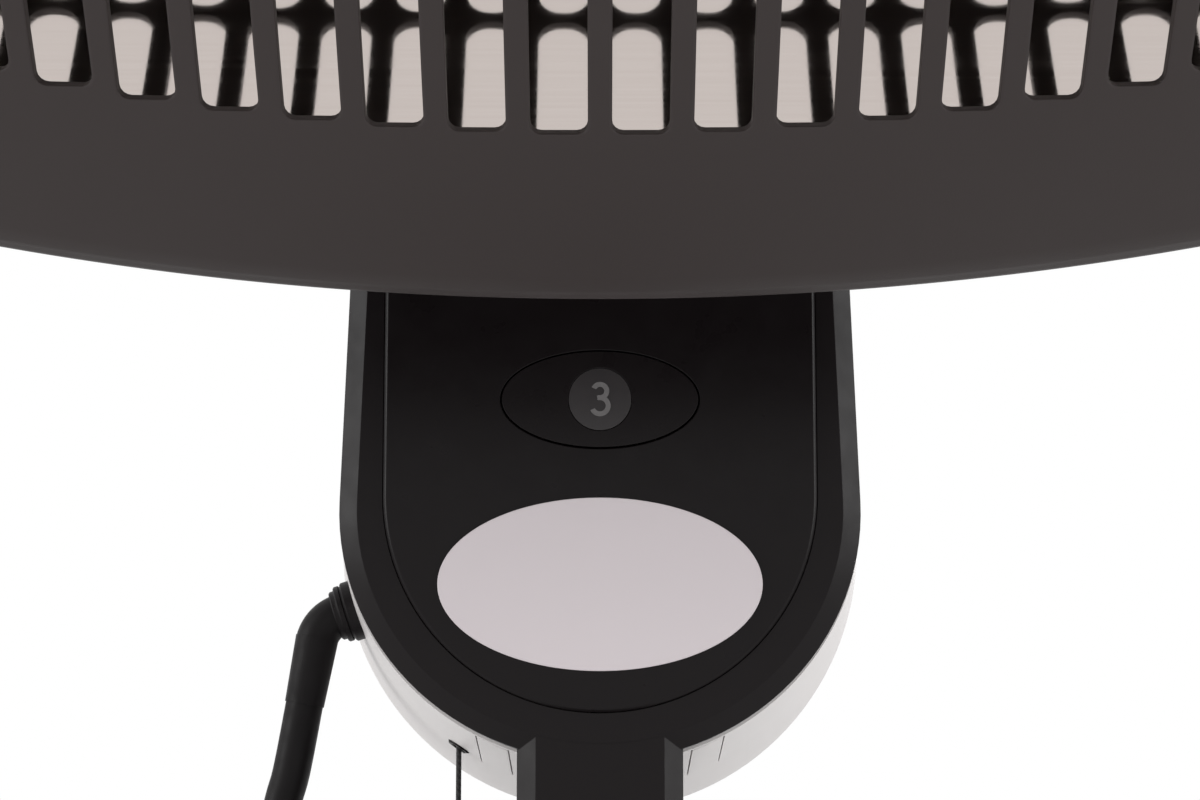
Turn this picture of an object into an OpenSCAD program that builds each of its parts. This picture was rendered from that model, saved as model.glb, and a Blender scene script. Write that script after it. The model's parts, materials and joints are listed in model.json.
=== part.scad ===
// Tabletop electric patio heater: a wide oval quartz head on a tilt fork, a control box with a
// push-button and a pull cord, a two-piece pole and a round weighted base.
// +Z is up, the front faces -Y, and the origin is the centre of the footprint on the table.

/* [Stand] */
// Radius of the round base
base_r = 190; // [170:5:230]
// Height of the base cover at the pole
base_h = 28; // [26:1:34]
// Thickness of the base cover's sheet
cover_t = 1.5; // [1:0.25:2]
// Thickness of the weight under the cover
weight_t = 14; // [10:1:16]
// Radius of one rubber foot
foot_r = 12; // [8:1:16]
// Height of the rubber feet
foot_h = 6; // [4:0.5:7]
// Number of rubber feet
foot_n = 6; // [4:1:8]
// Outer diameter of the pole
pole_d = 31; // [28:0.5:31]
// Wall of the pole
pole_t = 1.5; // [1:0.25:2.5]
// Height of the joint between the two pole pieces
joint_z = 360; // [300:10:420]
// Height of the pole socket on the base
socket_h = 42; // [30:1:60]

/* [Control box] */
// Height of the centre of the box's round lower end
box_z = 700; // [660:5:740]
// Radius of the box's round lower end, half the cover's width
box_r = 55; // [51.5:0.5:58]
// Lean of the box's sides towards its top
box_lean = 2; // [0:0.25:2.5]
// Length of the box above that centre
box_up = 75; // [70:1:85]
// Distance from the pole's axis to the cover's face
face_y = 30; // [28:0.5:32]
// Depth of the cover from its face to its back edge
cover_d = 11; // [9:0.5:13]
// Width of the bevel round the cover's face
bevel_w = 4; // [2:0.5:5]
// Depth of the bevel round the cover's face
bevel_d = 3; // [1:0.5:4]
// Wall of the cover and the housing
wall_t = 2.4; // [1.8:0.1:2.8]
// Distance from the pole's axis to the housing's back
back_y = 57; // [54:1:66]
// How far the housing's side bulges past the cover
bulge = 6; // [4:0.5:9]
// Radius of the raised face panel
panel_r = 45.6; // [44:0.2:46.5]
// Height of the face panel's round lower end above the box centre
panel_up = 3; // [0:0.5:4]
// How far the face panel stands proud of the cover
panel_proud = 1; // [0.5:0.1:1.5]
// Width of the neck that covers the pole
neck_w = 34.6; // [34:0.2:38]
// Length of the neck below the box centre
neck_len = 130; // [110:5:170]

/* [Button and label] */
// Half length of the oval push-button's opening
button_a = 21; // [18:0.5:24]
// Half height of the oval push-button's opening
button_b = 10.5; // [9:0.25:12]
// Height of the push-button above the box centre
button_up = 23; // [22:0.5:27]
// Travel of the push-button
button_travel = 1.2; // [0.6:0.1:1.6]
// Radius of the lit disc in the push-button
lens_r = 6.6; // [5:0.2:8]
// Height of the digit on the disc
digit_h = 7.2; // [5:0.2:8]
// Half length of the oval label plate
label_a = 33.9; // [30:0.5:36]
// Half height of the oval label plate
label_b = 18.1; // [15:0.5:19]
// Drop of the label plate below the box centre
label_down = 16; // [13:0.5:17]
// Thickness of the label plate
label_t = 0.6; // [0.3:0.1:1]

/* [Head] */
// Half width of the oval head
head_a = 230; // [210:5:250]
// Half height of the oval head
head_b = 108; // [102:1:114]
// Radius of the head's long upper and lower edges
head_arc = 600; // [500:10:800]
// Tilt of the head below the horizontal
head_tilt = 32; // [20:1:40]
// Distance of the head's front apex in front of the pole
head_front = 184; // [178:1:200]
// Height of the head's front apex above the box centre
head_up = 107; // [100:1:125]
// Radius of the guard's dome from top to bottom
dome_rv = 240; // [220:5:300]
// Radius of the guard's dome from side to side
dome_ru = 1200; // [1000:50:2000]
// Thickness of the guard
guard_t = 2.5; // [1.5:0.25:3]
// Depth of the guard's rim behind its apex
guard_depth = 44; // [40:1:50]
// Width of the plain band round the slots
band_w = 37; // [34:0.5:42]
// Spacing of the slots
slot_pitch = 14.2; // [12:0.2:18]
// Width of a slot
slot_w = 10; // [6:0.2:11]
// Height of a cross rib of the guard
rib_w = 2.5; // [2:0.25:4]
// Distance of the outer cross ribs from the head's middle
rib_v = 32; // [28:1:38]
// Depth of the head's back behind its apex
shell_depth = 85; // [80:1:95]
// Radius of the head's back from top to bottom
back_rv = 140; // [138:1:160]
// Radius of the head's back from side to side
back_ru = 560; // [550:10:640]
// Thickness of the head shell
shell_t = 2; // [1.2:0.1:2.4]

/* [Lamps] */
// Depth of the reflector's trough
trough_d = 18; // [16:0.5:18]
// Half length of the reflector's trough
trough_x = 160; // [150:1:162]
// Half width of the reflector's trough at its mouth
trough_v = 78; // [74:0.5:80]
// Slope of the trough's long sides
trough_lean = 25.7; // [24:0.1:32]
// Thickness of the reflector's sheet
sheet_t = 0.8; // [0.5:0.1:1.2]
// Spacing of the three lamp tubes
lamp_gap = 28; // [24:1:32]
// Diameter of a lamp tube
lamp_d = 11; // [8:0.5:12]
// Diameter of a lamp's ceramic end
lamp_end_d = 13; // [12:0.5:15]
// Length of a lamp's ceramic end
lamp_end_l = 20; // [14:1:24]

/* [Tilt hinge] */
// Height of the hinge above the head's back, along the arm
arm_l = 60; // [56:1:66]
// Drop of the hinge below the head's middle, along the head
arm_v = 30; // [24:1:36]
// Half width between the arm's ears, outside
arm_w = 17; // [14:0.5:20]
// Thickness of the arm and the fork
plate_t = 3; // [2:0.25:4]
// Radius of the arm's and the fork's round ends
ear_r = 13; // [11:0.5:15]
// Diameter of the hinge bolt
bolt_d = 8; // [6:0.5:10]
// Thickness of the friction washer
bush_t = 3; // [1.5:0.25:4]
// Radius of the tilt knob
knob_r = 18; // [14:0.5:24]
// Length of the tilt knob
knob_l = 18; // [14:0.5:24]

/* [Cords] */
// Diameter of the mains lead
lead_d = 8.4; // [7:0.1:9]
// Mean radius of the coil's turns
coil_r = 42; // [38:1:45]
// Diameter of the pull cord
pull_d = 1.2; // [1:0.1:2]
// Length of the pull cord outside the box
pull_len = 180; // [120:10:260]
// Side offset of the pull cord
pull_x = 31.5; // [30:0.5:33]
// Travel of the pull cord
pull_travel = 10; // [6:1:12]

/* [Hidden] */

// Clearances and steps that the fits share
fit = 0.1;
slide_gap = 0.3;
eps = 0.01;
far = 400;
smooth = 240;
fine = 64;

pole_r = pole_d / 2;
weight_r = base_r - 18;
floor_z = base_h + 4;
socket_r = pole_r + 4.5;

// The head's frame: x to the side, y up the face, z out of the face
head_reach = head_front + head_b * sin(head_tilt) - dome_sag(head_b) * cos(head_tilt);
stand_y = (head_reach - base_r) / 2;
function dome_sag(v) = dome_rv - sqrt(dome_rv * dome_rv - v * v);
function end_r(a, b, r) = (r * r - a * a - (r - b) * (r - b)) / (2 * (r - a));
function join_x(a, b, r) = r * (a - end_r(a, b, r)) / norm([a - end_r(a, b, r), r - b]);
function oval_half(a, b, r, x) = x <= join_x(a, b, r)
    ? sqrt(r * r - x * x) - (r - b)
    : sqrt(max(0, pow(end_r(a, b, r), 2) - pow(x - (a - end_r(a, b, r)), 2)));

cover_back = -face_y + cover_d;
hinge_y = -head_front + arm_v * sin(head_tilt) + (shell_depth + arm_l) * cos(head_tilt);
hinge_z = box_z + head_up - arm_v * cos(head_tilt) + (shell_depth + arm_l) * sin(head_tilt);
echo(stand_y = stand_y, hinge = [0, hinge_y + stand_y, hinge_z]);

module stand() {
    translate([0, stand_y, 0]) children();
}

module head() {
    stand()
        translate([0, -head_front, box_z + head_up])
            rotate([90 + head_tilt, 0, 0])
                children();
}

module oval(a, b, r) {
    re = end_r(a, b, r);
    xj = join_x(a, b, r);
    intersection() {
        translate([0, b - r]) circle(r, $fn = smooth * 2);
        translate([0, r - b]) circle(r, $fn = smooth * 2);
        square([2 * xj, 2 * b], center = true);
    }
    for (s = [-1, 1])
        translate([s * (a - re), 0]) circle(re, $fn = smooth);
}

// Everything behind a dome of two radii whose apex is at the origin and faces +z, less a step
dome_deep = 120;
module behind_dome(rv, ru, span, step) {
    rotate([-90, 0, 0])
        translate([0, ru, 0])
            rotate([0, 0, -90 - span / 2])
                rotate_extrude(angle = span, $fn = smooth * 4)
                    intersection() {
                        translate([ru - rv, 0]) circle(rv - step, $fn = smooth * 2);
                        translate([ru - dome_deep, -rv]) square([dome_deep, 2 * rv]);
                    }
}

guard_span = 50;
module guard_form(step) {
    intersection() {
        translate([0, 0, -guard_depth - (step > 0 ? 1 : 0)])
            linear_extrude(guard_depth + 5)
                oval(head_a - step, head_b - step, head_arc - step);
        behind_dome(dome_rv, dome_ru, guard_span, step);
    }
}

module slot(x, v0, v1, r0, r1) {
    translate([x, 0])
        for (s = [-1, 1]) {
            translate([s * (slot_w / 2 - r0), v0 + r0]) circle(r0, $fn = 32);
            translate([s * (slot_w / 2 - r1), v1 - r1]) circle(r1, $fn = 32);
        }
    translate([x - slot_w / 2, v0 + r0]) square([slot_w, v1 - v0 - r0 - r1]);
    translate([x - slot_w / 2 + r0, v0]) square([slot_w - 2 * r0, r0 + eps]);
    translate([x - slot_w / 2 + r1, v1 - r1 - eps]) square([slot_w - 2 * r1, r1 + eps]);
}

slot_sharp = 2;
slot_round = slot_w / 2 - 0.5;
slot_min = 12;
slot_last = floor((head_a - band_w - slot_w) / slot_pitch - 0.5);

// The column of slots on the upper half, rounded at the ribs and squarer at the band
module slot_column(i) {
    x = (i + 0.5) * slot_pitch;
    reach = oval_half(head_a - band_w, head_b - band_w, head_arc - band_w, x + slot_w / 2);
    if (reach > rib_v + slot_min)
        slot(x, rib_v + rib_w / 2, reach, slot_round, slot_sharp);
    top = reach > rib_v + slot_min ? rib_v - rib_w / 2 : min(reach, rib_v - rib_w / 2);
    if (top > slot_min)
        slot(x, rib_w / 2, top, slot_round, slot_round);
}

guard_screw_in = 30;
screw_x = head_a - guard_screw_in;
screw_v = 40;
screw_r = 2;
screw_head_r = 3.6;
module at_guard_screws() {
    for (sx = [-1, 1], sv = [-1, 1])
        translate([sx * screw_x, sv * screw_v, 0]) children();
}

// The plane where the guard, the reflector's plate and the shell meet, behind the apex
flange_w = -30;
guard_boss_r = 6;
boss_seat = 4;
module front_guard() color("dimgray") head() {
    difference() {
        union() {
            difference() {
                guard_form(0);
                guard_form(guard_t);
            }
            intersection() {
                at_guard_screws()
                    translate([0, 0, flange_w + sheet_t])
                        cylinder(r = guard_boss_r, h = -flange_w, $fn = fine);
                behind_dome(dome_rv, dome_ru, guard_span, guard_t / 2);
            }
        }
        for (i = [0 : slot_last], sx = [0, 1], sv = [0, 1])
            mirror([sx, 0, 0])
                mirror([0, sv, 0])
                    translate([0, 0, -guard_depth - 1])
                        linear_extrude(guard_depth + 6)
                            slot_column(i);
        at_guard_screws() {
            translate([0, 0, flange_w - 1]) cylinder(r = screw_r + fit, h = far, $fn = fine);
            translate([0, 0, flange_w + sheet_t + boss_seat])
                cylinder(r = screw_head_r + 0.4, h = far, $fn = fine);
        }
    }
}

guard_screw_l = 12;
module guard_screws() color("silver") head()
    at_guard_screws()
        translate([0, 0, flange_w + sheet_t + boss_seat]) {
            cylinder(r = screw_head_r, h = 2.6, $fn = fine);
            translate([0, 0, -guard_screw_l]) cylinder(r = screw_r, h = guard_screw_l + eps, $fn = fine);
        }

rim_gap = 0.3;
shell_a = head_a - guard_t - rim_gap;
shell_b = head_b - guard_t - rim_gap;
shell_arc = head_arc - guard_t - rim_gap;

// The shell's back is a dome cut flat where the arm sits
back_crown = 13;
back_span = 80;
module shell_form(step) {
    intersection() {
        translate([0, 0, -shell_depth + step])
            linear_extrude(shell_depth + flange_w - step + (step > 0 ? 1 : 0))
                oval(shell_a - step, shell_b - step, shell_arc - step);
        translate([0, 0, -shell_depth - back_crown])
            mirror([0, 0, 1])
                behind_dome(back_rv, back_ru, back_span, step);
    }
}

shell_boss_r = 5.5;
shell_boss_l = 32;
vent_n = 9;
vent_pitch = 16;
vent_w = 8;
vent_v = 24;
vent_l = 24;
module head_shell() color([0.25, 0.24, 0.24]) head()
    difference() {
        union() {
            difference() {
                shell_form(0);
                shell_form(shell_t);
            }
            intersection() {
                shell_form(0);
                at_guard_screws()
                    translate([0, 0, flange_w - shell_boss_l])
                        cylinder(r = shell_boss_r, h = shell_boss_l, $fn = fine);
            }
        }
        at_guard_screws()
            translate([0, 0, flange_w - guard_screw_l]) cylinder(r = screw_r + fit / 2, h = far, $fn = fine);
        for (i = [0 : vent_n - 1])
            translate([(i - (vent_n - 1) / 2) * vent_pitch - vent_w / 2, vent_v, -shell_depth - 1])
                cube([vent_w, vent_l, shell_t + 2]);
        at_arm_bolts()
            translate([0, 0, -shell_depth - 1]) cylinder(r = arm_bolt_r + fit, h = shell_t + 2, $fn = fine);
    }

trough_w = flange_w - trough_d;
trough_foot = trough_v - trough_d / tan(trough_lean);

// The trough's section, widened all round by a step and carried on above its mouth
module trough_section(step, over = 0) {
    foot = trough_foot + step * tan(trough_lean / 2);
    rise = trough_d + step + over;
    top = foot + rise / tan(trough_lean);
    translate([0, trough_w - step])
        polygon([[-foot, 0], [foot, 0], [top, rise], [-top, rise]]);
}

// Turns a section drawn in the head's up and out axes into a bar along x
module along_x(x0, x1) {
    translate([x0, 0, 0])
        rotate([90, 0, 90])
            linear_extrude(x1 - x0)
                children();
}

module reflector() color("gainsboro") head()
    difference() {
        union() {
            translate([0, 0, flange_w])
                linear_extrude(sheet_t)
                    oval(shell_a, shell_b, shell_arc);
            along_x(-trough_x - sheet_t, trough_x + sheet_t) trough_section(sheet_t, sheet_t / 2);
        }
        along_x(-trough_x, trough_x) trough_section(0, sheet_t + 1);
        at_guard_screws() translate([0, 0, flange_w - 1]) cylinder(r = screw_r + fit, h = 4, $fn = fine);
        for (v = [-1, 0, 1])
            along_x(-far, far) translate([v * lamp_gap, lamp_w]) circle(lamp_end_d / 2 + fit, $fn = fine);
    }

// The lamps' axes lie between the trough's floor and the guard; their ends reach its end walls
lamp_w = trough_w + 12;
lamp_tube_len = 2 * (trough_x - lamp_end_l);
module at_lamps() {
    for (v = [-1, 0, 1])
        translate([0, v * lamp_gap, lamp_w])
            rotate([0, 90, 0])
                children();
}

lamp_wall = 1;
module lamp_tubes() color("white") head()
    at_lamps()
        difference() {
            cylinder(d = lamp_d, h = lamp_tube_len, center = true, $fn = fine);
            cylinder(d = lamp_d - 2 * lamp_wall, h = lamp_tube_len + 1, center = true, $fn = fine);
        }

coil_wire = 0.8;
module lamp_coils() color("gray") head()
    at_lamps() cylinder(d = 2 * coil_wire, h = lamp_tube_len, center = true, $fn = 24);

module lamp_ends() color("ivory") head()
    at_lamps()
        for (s = [-1, 1])
            translate([0, 0, s * (lamp_tube_len / 2 + lamp_end_l / 2)])
                cylinder(d = lamp_end_d, h = lamp_end_l, center = true, $fn = fine);

// A saddle across each end of the trough that the ceramic ends lie in
bracket_l = 12;
module lamp_brackets() color("silver") head()
    for (s = [-1, 1])
        difference() {
            intersection() {
                translate([s * (trough_x - bracket_l / 2 - fit), 0, 0])
                    along_x(-bracket_l / 2, bracket_l / 2)
                        difference() {
                            translate([-lamp_gap - lamp_end_d, trough_w])
                                square([2 * (lamp_gap + lamp_end_d), lamp_w - trough_w]);
                            for (v = [-1, 0, 1])
                                translate([v * lamp_gap, lamp_w]) circle(lamp_end_d / 2 + fit, $fn = fine);
                        }
                along_x(-far, far) trough_section(-fit);
            }
            translate([-far, -far, lamp_w]) cube([2 * far, 2 * far, far]);
        }

cutout_r = 6;
cutout_h = 9;
module thermal_cutout() color("black") head()
    translate([0, trough_v + sheet_t + cutout_r + 2, flange_w - cutout_h])
        cylinder(r = cutout_r, h = cutout_h, $fn = fine);

terminal = [40, 20, 14];
module head_terminal() color("ivory") head()
    translate([30, -terminal[1] / 2, -shell_depth + shell_t])
        cube(terminal);

arm_base = 44;
arm_bolt_r = 2.5;
arm_bolt_gap = 15;
module at_arm_bolts() {
    for (sx = [-1, 1], sv = [-1, 1])
        translate([sx * (arm_w - plate_t - 5), -arm_v + sv * arm_bolt_gap, 0]) children();
}

// One flat plate with a round end, drawn in the head's up and out axes
module arm_ear() {
    difference() {
        union() {
            translate([-arm_v, -shell_depth - arm_l]) circle(ear_r, $fn = fine);
            translate([-arm_v - ear_r, -shell_depth - arm_l]) square([2 * ear_r, arm_l]);
        }
        translate([-arm_v, -shell_depth - arm_l]) circle(bolt_d / 2 + fit, $fn = fine);
    }
}

module tilt_arm() color([0.25, 0.24, 0.24]) head()
    difference() {
        union() {
            for (s = [0, 1])
                mirror([s, 0, 0]) along_x(arm_w - plate_t, arm_w) arm_ear();
            translate([-arm_w, -arm_v - arm_base / 2, -shell_depth - plate_t])
                cube([2 * arm_w, arm_base, plate_t]);
        }
        at_arm_bolts()
            translate([0, 0, -shell_depth - plate_t - 1])
                cylinder(r = arm_bolt_r + fit, h = plate_t + 2, $fn = fine);
    }

module arm_bolts() color("silver") head()
    at_arm_bolts() {
        translate([0, 0, -shell_depth - plate_t - 3]) cylinder(r = arm_bolt_r + 1.5, h = 3, $fn = fine);
        translate([0, 0, -shell_depth - plate_t])
            cylinder(r = arm_bolt_r, h = plate_t + shell_t + 6, $fn = fine);
    }

fork_in = arm_w + bush_t;
fork_out = fork_in + plate_t;
fork_top = box_z + box_up;
fork_back = 30;
fork_lead = cover_back - 1;
fork_bolt_r = 2.9;
chassis_t = 2;

module at_hinge() {
    stand() translate([0, hinge_y, hinge_z]) rotate([0, 90, 0]) children();
}

// One side of the fork, drawn in the y and z axes
module fork_side() {
    dy = hinge_y - fork_lead;
    dz = hinge_z - fork_top;
    lean = ear_r / norm([dy, dz]);
    difference() {
        union() {
            translate([hinge_y, hinge_z]) circle(ear_r, $fn = fine);
            polygon([
                [fork_lead, fork_top], [hinge_y - dz * lean, hinge_z + dy * lean],
                [hinge_y + dz * lean, hinge_z - dy * lean], [fork_back, fork_top]
            ]);
        }
        translate([hinge_y, hinge_z]) circle(bolt_d / 2 + fit, $fn = fine);
    }
}

module at_fork_bolts() {
    for (sx = [-1, 1], y = [-10, 20])
        translate([sx * (arm_w - 4), y, 0]) children();
}

module tilt_fork() color([0.12, 0.12, 0.12]) stand()
    difference() {
        union() {
            for (s = [0, 1])
                mirror([s, 0, 0]) along_x(fork_in, fork_out) fork_side();
            translate([-fork_out, fork_lead, fork_top])
                cube([2 * fork_out, fork_back - fork_lead, plate_t]);
        }
        at_fork_bolts()
            translate([0, 0, fork_top - 1]) cylinder(r = fork_bolt_r + fit, h = plate_t + 2, $fn = fine);
    }

module fork_bolts() color("silver") stand()
    at_fork_bolts() {
        translate([0, 0, fork_top + plate_t]) cylinder(r = fork_bolt_r + 2, h = 3.5, $fn = fine);
        translate([0, 0, fork_top - wall_t - chassis_t - 3])
            cylinder(r = fork_bolt_r, h = wall_t + chassis_t + plate_t + 3, $fn = fine);
    }

bolt_head_h = 5.5;
knob_cap = 6;
module hinge_bolt() color("silver") at_hinge() {
    translate([0, 0, -fork_out - bolt_head_h]) cylinder(r = bolt_d * 0.85, h = bolt_head_h, $fn = 6);
    translate([0, 0, -fork_out]) cylinder(d = bolt_d, h = 2 * fork_out + knob_l - knob_cap, $fn = fine);
}

module hinge_washers() color("black") at_hinge()
    for (s = [-1, 1])
        difference() {
            translate([0, 0, s * (arm_w + bush_t / 2)])
                cylinder(r = ear_r - 1, h = bush_t - 2 * fit, center = true, $fn = fine);
            cylinder(r = bolt_d / 2 + fit, h = far, center = true, $fn = fine);
        }

lobe_n = 6;
lobe_r = 5;
module tilt_knob() color([0.1, 0.1, 0.1]) at_hinge()
    translate([0, 0, fork_out + slide_gap])
        difference() {
            union() {
                cylinder(r = knob_r - 4, h = knob_l, $fn = fine);
                for (i = [0 : lobe_n - 1])
                    rotate([0, 0, i * 360 / lobe_n])
                        translate([knob_r - lobe_r, 0, 4])
                            cylinder(r = lobe_r, h = knob_l - 4, $fn = fine);
            }
            translate([0, 0, -1])
                cylinder(r = bolt_d / 2 + fit, h = knob_l - knob_cap + 1 + fit, $fn = fine);
        }

// The control box: sections are given as [radius, y] points and swept round its U outline,
// whose two sides lean towards each other
module u_body(p, up, lean = box_lean) {
    stand() translate([0, 0, box_z]) {
        rotate([90, 0, 0])
            rotate([0, 0, 180 - lean])
                rotate_extrude(angle = 180 + 2 * lean, $fn = smooth)
                    polygon([for (q = p) [q[0], -q[1]]]);
        difference() {
            for (s = [0, 1])
                mirror([s, 0, 0])
                    rotate([0, -lean, 0])
                        linear_extrude(up + bevel_w)
                            polygon(p);
            translate([-far / 2, -far / 2, up]) cube(far);
        }
    }
}

// A plate in the plane of the face, from y0 back to y1, drawn in the x and z axes
module face_plate(y0, y1) {
    stand()
        translate([0, y1, box_z])
            rotate([90, 0, 0])
                linear_extrude(y1 - y0)
                    children();
}

module u_outline(r, up) {
    circle(r, $fn = smooth);
    translate([-r, 0]) square([2 * r, up]);
}

recess = 0.8;
panel_face = -face_y - panel_proud;
plate_back = -face_y + wall_t;

// The neck is all but flush with the cover's face and carries its bevel on
neck_front = -face_y + 0.3;
neck_back = 2;
module neck_section(step) {
    side = neck_w / 2 + step;
    flat = neck_w / 2 - bevel_w;
    polygon([
        [-side, neck_back], [-side, neck_front + bevel_d], [-flat, neck_front - step],
        [flat, neck_front - step], [side, neck_front + bevel_d], [side, neck_back]
    ]);
}

module oval_hole(a, b) {
    scale([a / b, 1]) circle(b, $fn = smooth);
}

post_r = 3;
post_x = 27;
post_low = -16;
post_high = 46;
module at_posts() {
    for (sx = [-1, 1], z = [post_low, post_high])
        translate([sx * post_x, z]) children();
}

module front_cover() color([0.09, 0.08, 0.08]) {
    difference() {
        union() {
            difference() {
                u_body([
                    [0, -face_y], [box_r - bevel_w, -face_y], [box_r, -face_y + bevel_d],
                    [box_r, cover_back], [0, cover_back]
                ], box_up);
                difference() {
                    u_body([
                        [0, plate_back], [box_r - bevel_w - 0.5, plate_back],
                        [box_r - wall_t, -face_y + bevel_d + wall_t * 0.6],
                        [box_r - wall_t, cover_back + 1], [0, cover_back + 1]
                    ], box_up + 1);
                    stand() translate([-far / 2, -far / 2, box_z + box_up - wall_t]) cube(far);
                }
            }
            stand()
                translate([0, 0, box_z - neck_len])
                    linear_extrude(neck_len - box_r + wall_t + 10) neck_section(0);
            face_plate(plate_back - eps, board_front) at_posts() circle(post_r, $fn = fine);
        }
        stand()
            translate([0, 0, box_z - neck_len - 1])
                cylinder(r = pole_r + fit, h = pole_top - box_z + neck_len + 1, $fn = fine);
        face_plate(-far, -face_y + recess)
            translate([0, panel_up]) u_outline(panel_r + fit, box_up + 1);
        face_plate(-far, 0) translate([0, button_up]) oval_hole(button_a, button_b);
    }
}

module face_panel() color([0.07, 0.06, 0.06])
    difference() {
        translate([0, 0, panel_up])
            u_body([
                [0, panel_face], [panel_r - 0.7, panel_face], [panel_r, panel_face + 0.7],
                [panel_r, -face_y + recess], [0, -face_y + recess]
            ], box_up - panel_up, 0);
        face_plate(-far, 0) translate([0, button_up]) oval_hole(button_a, button_b);
    }

module label_plate() color([0.8, 0.77, 0.78])
    face_plate(panel_face - label_t, panel_face)
        translate([0, -label_down]) oval_hole(label_a, label_b);

board_front = -13;
board_t = 1.6;
flange_t = 1.6;
button_front = panel_face - 0.2;
lens_t = 0.6;
digit_t = 0.3;
tact_h = 2;
button_back = plate_back + slide_gap + flange_t;
module level_button() color([0.06, 0.05, 0.05]) {
    difference() {
        union() {
            face_plate(button_front, plate_back + slide_gap + eps)
                translate([0, button_up]) oval_hole(button_a - slide_gap, button_b - slide_gap);
            face_plate(plate_back + slide_gap, button_back)
                translate([0, button_up]) oval_hole(button_a + 1.5, button_b + 1.5);
            face_plate(button_back - eps, board_front - tact_h - button_travel - fit)
                translate([0, button_up]) circle(3, $fn = fine);
        }
        face_plate(-far, button_front + lens_t)
            translate([0, button_up]) circle(lens_r + fit / 2, $fn = fine);
    }
}

module button_lens() color([0.17, 0.15, 0.15])
    face_plate(button_front, button_front + lens_t)
        translate([0, button_up]) circle(lens_r, $fn = fine);

// The digit three as two open rings
stroke = digit_h * 0.155;
module digit_bowl(r) {
    difference() {
        circle(r, $fn = 48);
        circle(r - stroke, $fn = 48);
        translate([-2 * r, -r * 0.55]) square([2 * r, r * 1.1]);
    }
}

module digit() color([0.45, 0.43, 0.43])
    face_plate(button_front - digit_t, button_front)
        translate([0, button_up]) {
            r_low = (digit_h + stroke) * 0.27;
            r_top = (digit_h + stroke) / 2 - r_low;
            translate([0, -digit_h / 2 + r_low]) digit_bowl(r_low);
            translate([0, digit_h / 2 - r_top]) digit_bowl(r_top);
        }

// The board straddles the pole's upper end
board_w = 66;
board_z0 = -24;
board_z1 = 54;
pole_top = box_z + 8;
module circuit_board() color("darkgreen")
    difference() {
        face_plate(board_front, board_front + board_t)
            translate([-board_w / 2, board_z0]) square([board_w, board_z1 - board_z0]);
        stand() translate([0, 0, pole_top + 1 - far]) cylinder(r = pole_r + 1, h = far, $fn = fine);
    }

board_back = board_front + board_t;
module board_relays() color("royalblue")
    for (sx = [-1, 1])
        face_plate(board_back, board_back + 12)
            translate([sx * 25 - 7, 16]) square([14, 18]);

module tact_switch() color("black")
    face_plate(board_front - tact_h, board_front)
        translate([-3, button_up - 3]) square([6, 6]);

// The housing's side swells from the cover's back edge and rounds over to a flat back
round_back = 12;
function housing_r(y) = box_r + bulge * min(1, (y - cover_back) / (back_y - round_back - cover_back));
function housing_section(step) = concat(
    [[0, cover_back - (step > 0 ? 1 : 0)]],
    [[box_r + 0.6 - step, cover_back - (step > 0 ? 1 : 0)]],
    [for (y = [cover_back + 2, back_y - round_back]) [housing_r(y) - step, y]],
    [for (t = [15 : 15 : 90])
        [housing_r(back_y) - round_back * (1 - cos(t)) - step * cos(t),
         back_y - round_back * (1 - sin(t)) - step * sin(t)]],
    [[0, back_y - step]]
);

pad_x = 19.5;
pad_w = 7;
pad_y0 = -14;
pad_y1 = 16;
pad_step = 1;
pad_back = 1.2;
module pad_block(grow) {
    for (s = [0, 1])
        mirror([s, 0, 0])
            stand()
                translate([pad_x - grow, pad_y0 - grow, box_z - box_r - bulge - 5])
                    cube([pad_w + 2 * grow, pad_y1 - pad_y0 + 2 * grow, box_r]);
}

gland_a = 18;
gland_y = 14;
gland_reach = housing_r(gland_y);
module at_gland() {
    stand()
        translate([0, gland_y, box_z])
            rotate([0, -90 - gland_a, 0])
                translate([0, 0, gland_reach])
                    children();
}

gland_r = 6.3;
gland_shank_r = gland_r - 1.6;
gland_seat = 0.8;
pull_y = 14;
pull_exit = sqrt(pow(housing_r(pull_y), 2) - pull_x * pull_x);
module at_pull() {
    stand() translate([-pull_x, pull_y, box_z]) children();
}

housing_screw_x = 38;
housing_screw_low = -22;
housing_screw_high = 52;
module at_housing_screws() {
    for (sx = [-1, 1], z = [housing_screw_low, housing_screw_high])
        stand()
            translate([sx * housing_screw_x, back_y, box_z + z])
                rotate([-90, 0, 0])
                    children();
}

eyelet_r = 2.3;
eyelet_out = 1;
eyelet_in = 5;
bore_run = 20;
bore_back = 12;
module rear_housing() color([0.82, 0.82, 0.83])
    difference() {
        union() {
            difference() {
                u_body(housing_section(0), box_up);
                difference() {
                    u_body(housing_section(wall_t), box_up + 1);
                    stand() translate([-far / 2, -far / 2, box_z + box_up - wall_t]) cube(far);
                }
            }
            intersection() {
                difference() {
                    u_body(housing_section(pad_step + fit), box_up);
                    u_body(housing_section(wall_t + pad_back), box_up);
                }
                pad_block(2);
            }
            at_gland()
                translate([0, 0, -wall_t])
                    cylinder(r = gland_r - 0.3, h = wall_t + gland_seat, $fn = fine);
        }
        difference() {
            pad_block(fit);
            u_body(housing_section(pad_step + fit), box_up);
        }
        stand() translate([0, 0, pole_top - far]) cylinder(r = pole_r + fit, h = far, $fn = fine);
        stand() translate([0, 0, box_z - far]) linear_extrude(far) neck_section(fit);
        at_gland() translate([0, 0, -bore_back]) cylinder(r = gland_shank_r + fit, h = bore_run, $fn = fine);
        at_pull() translate([0, 0, -far - bore_run]) cylinder(r = eyelet_r + fit / 2, h = far, $fn = fine);
        stand()
            at_fork_bolts()
                translate([0, 0, fork_top - wall_t - 1])
                    cylinder(r = fork_bolt_r + fit, h = far, $fn = fine);
        at_housing_screws() translate([0, 0, -bore_back]) cylinder(r = 2.1, h = bore_run, $fn = fine);
    }

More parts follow.
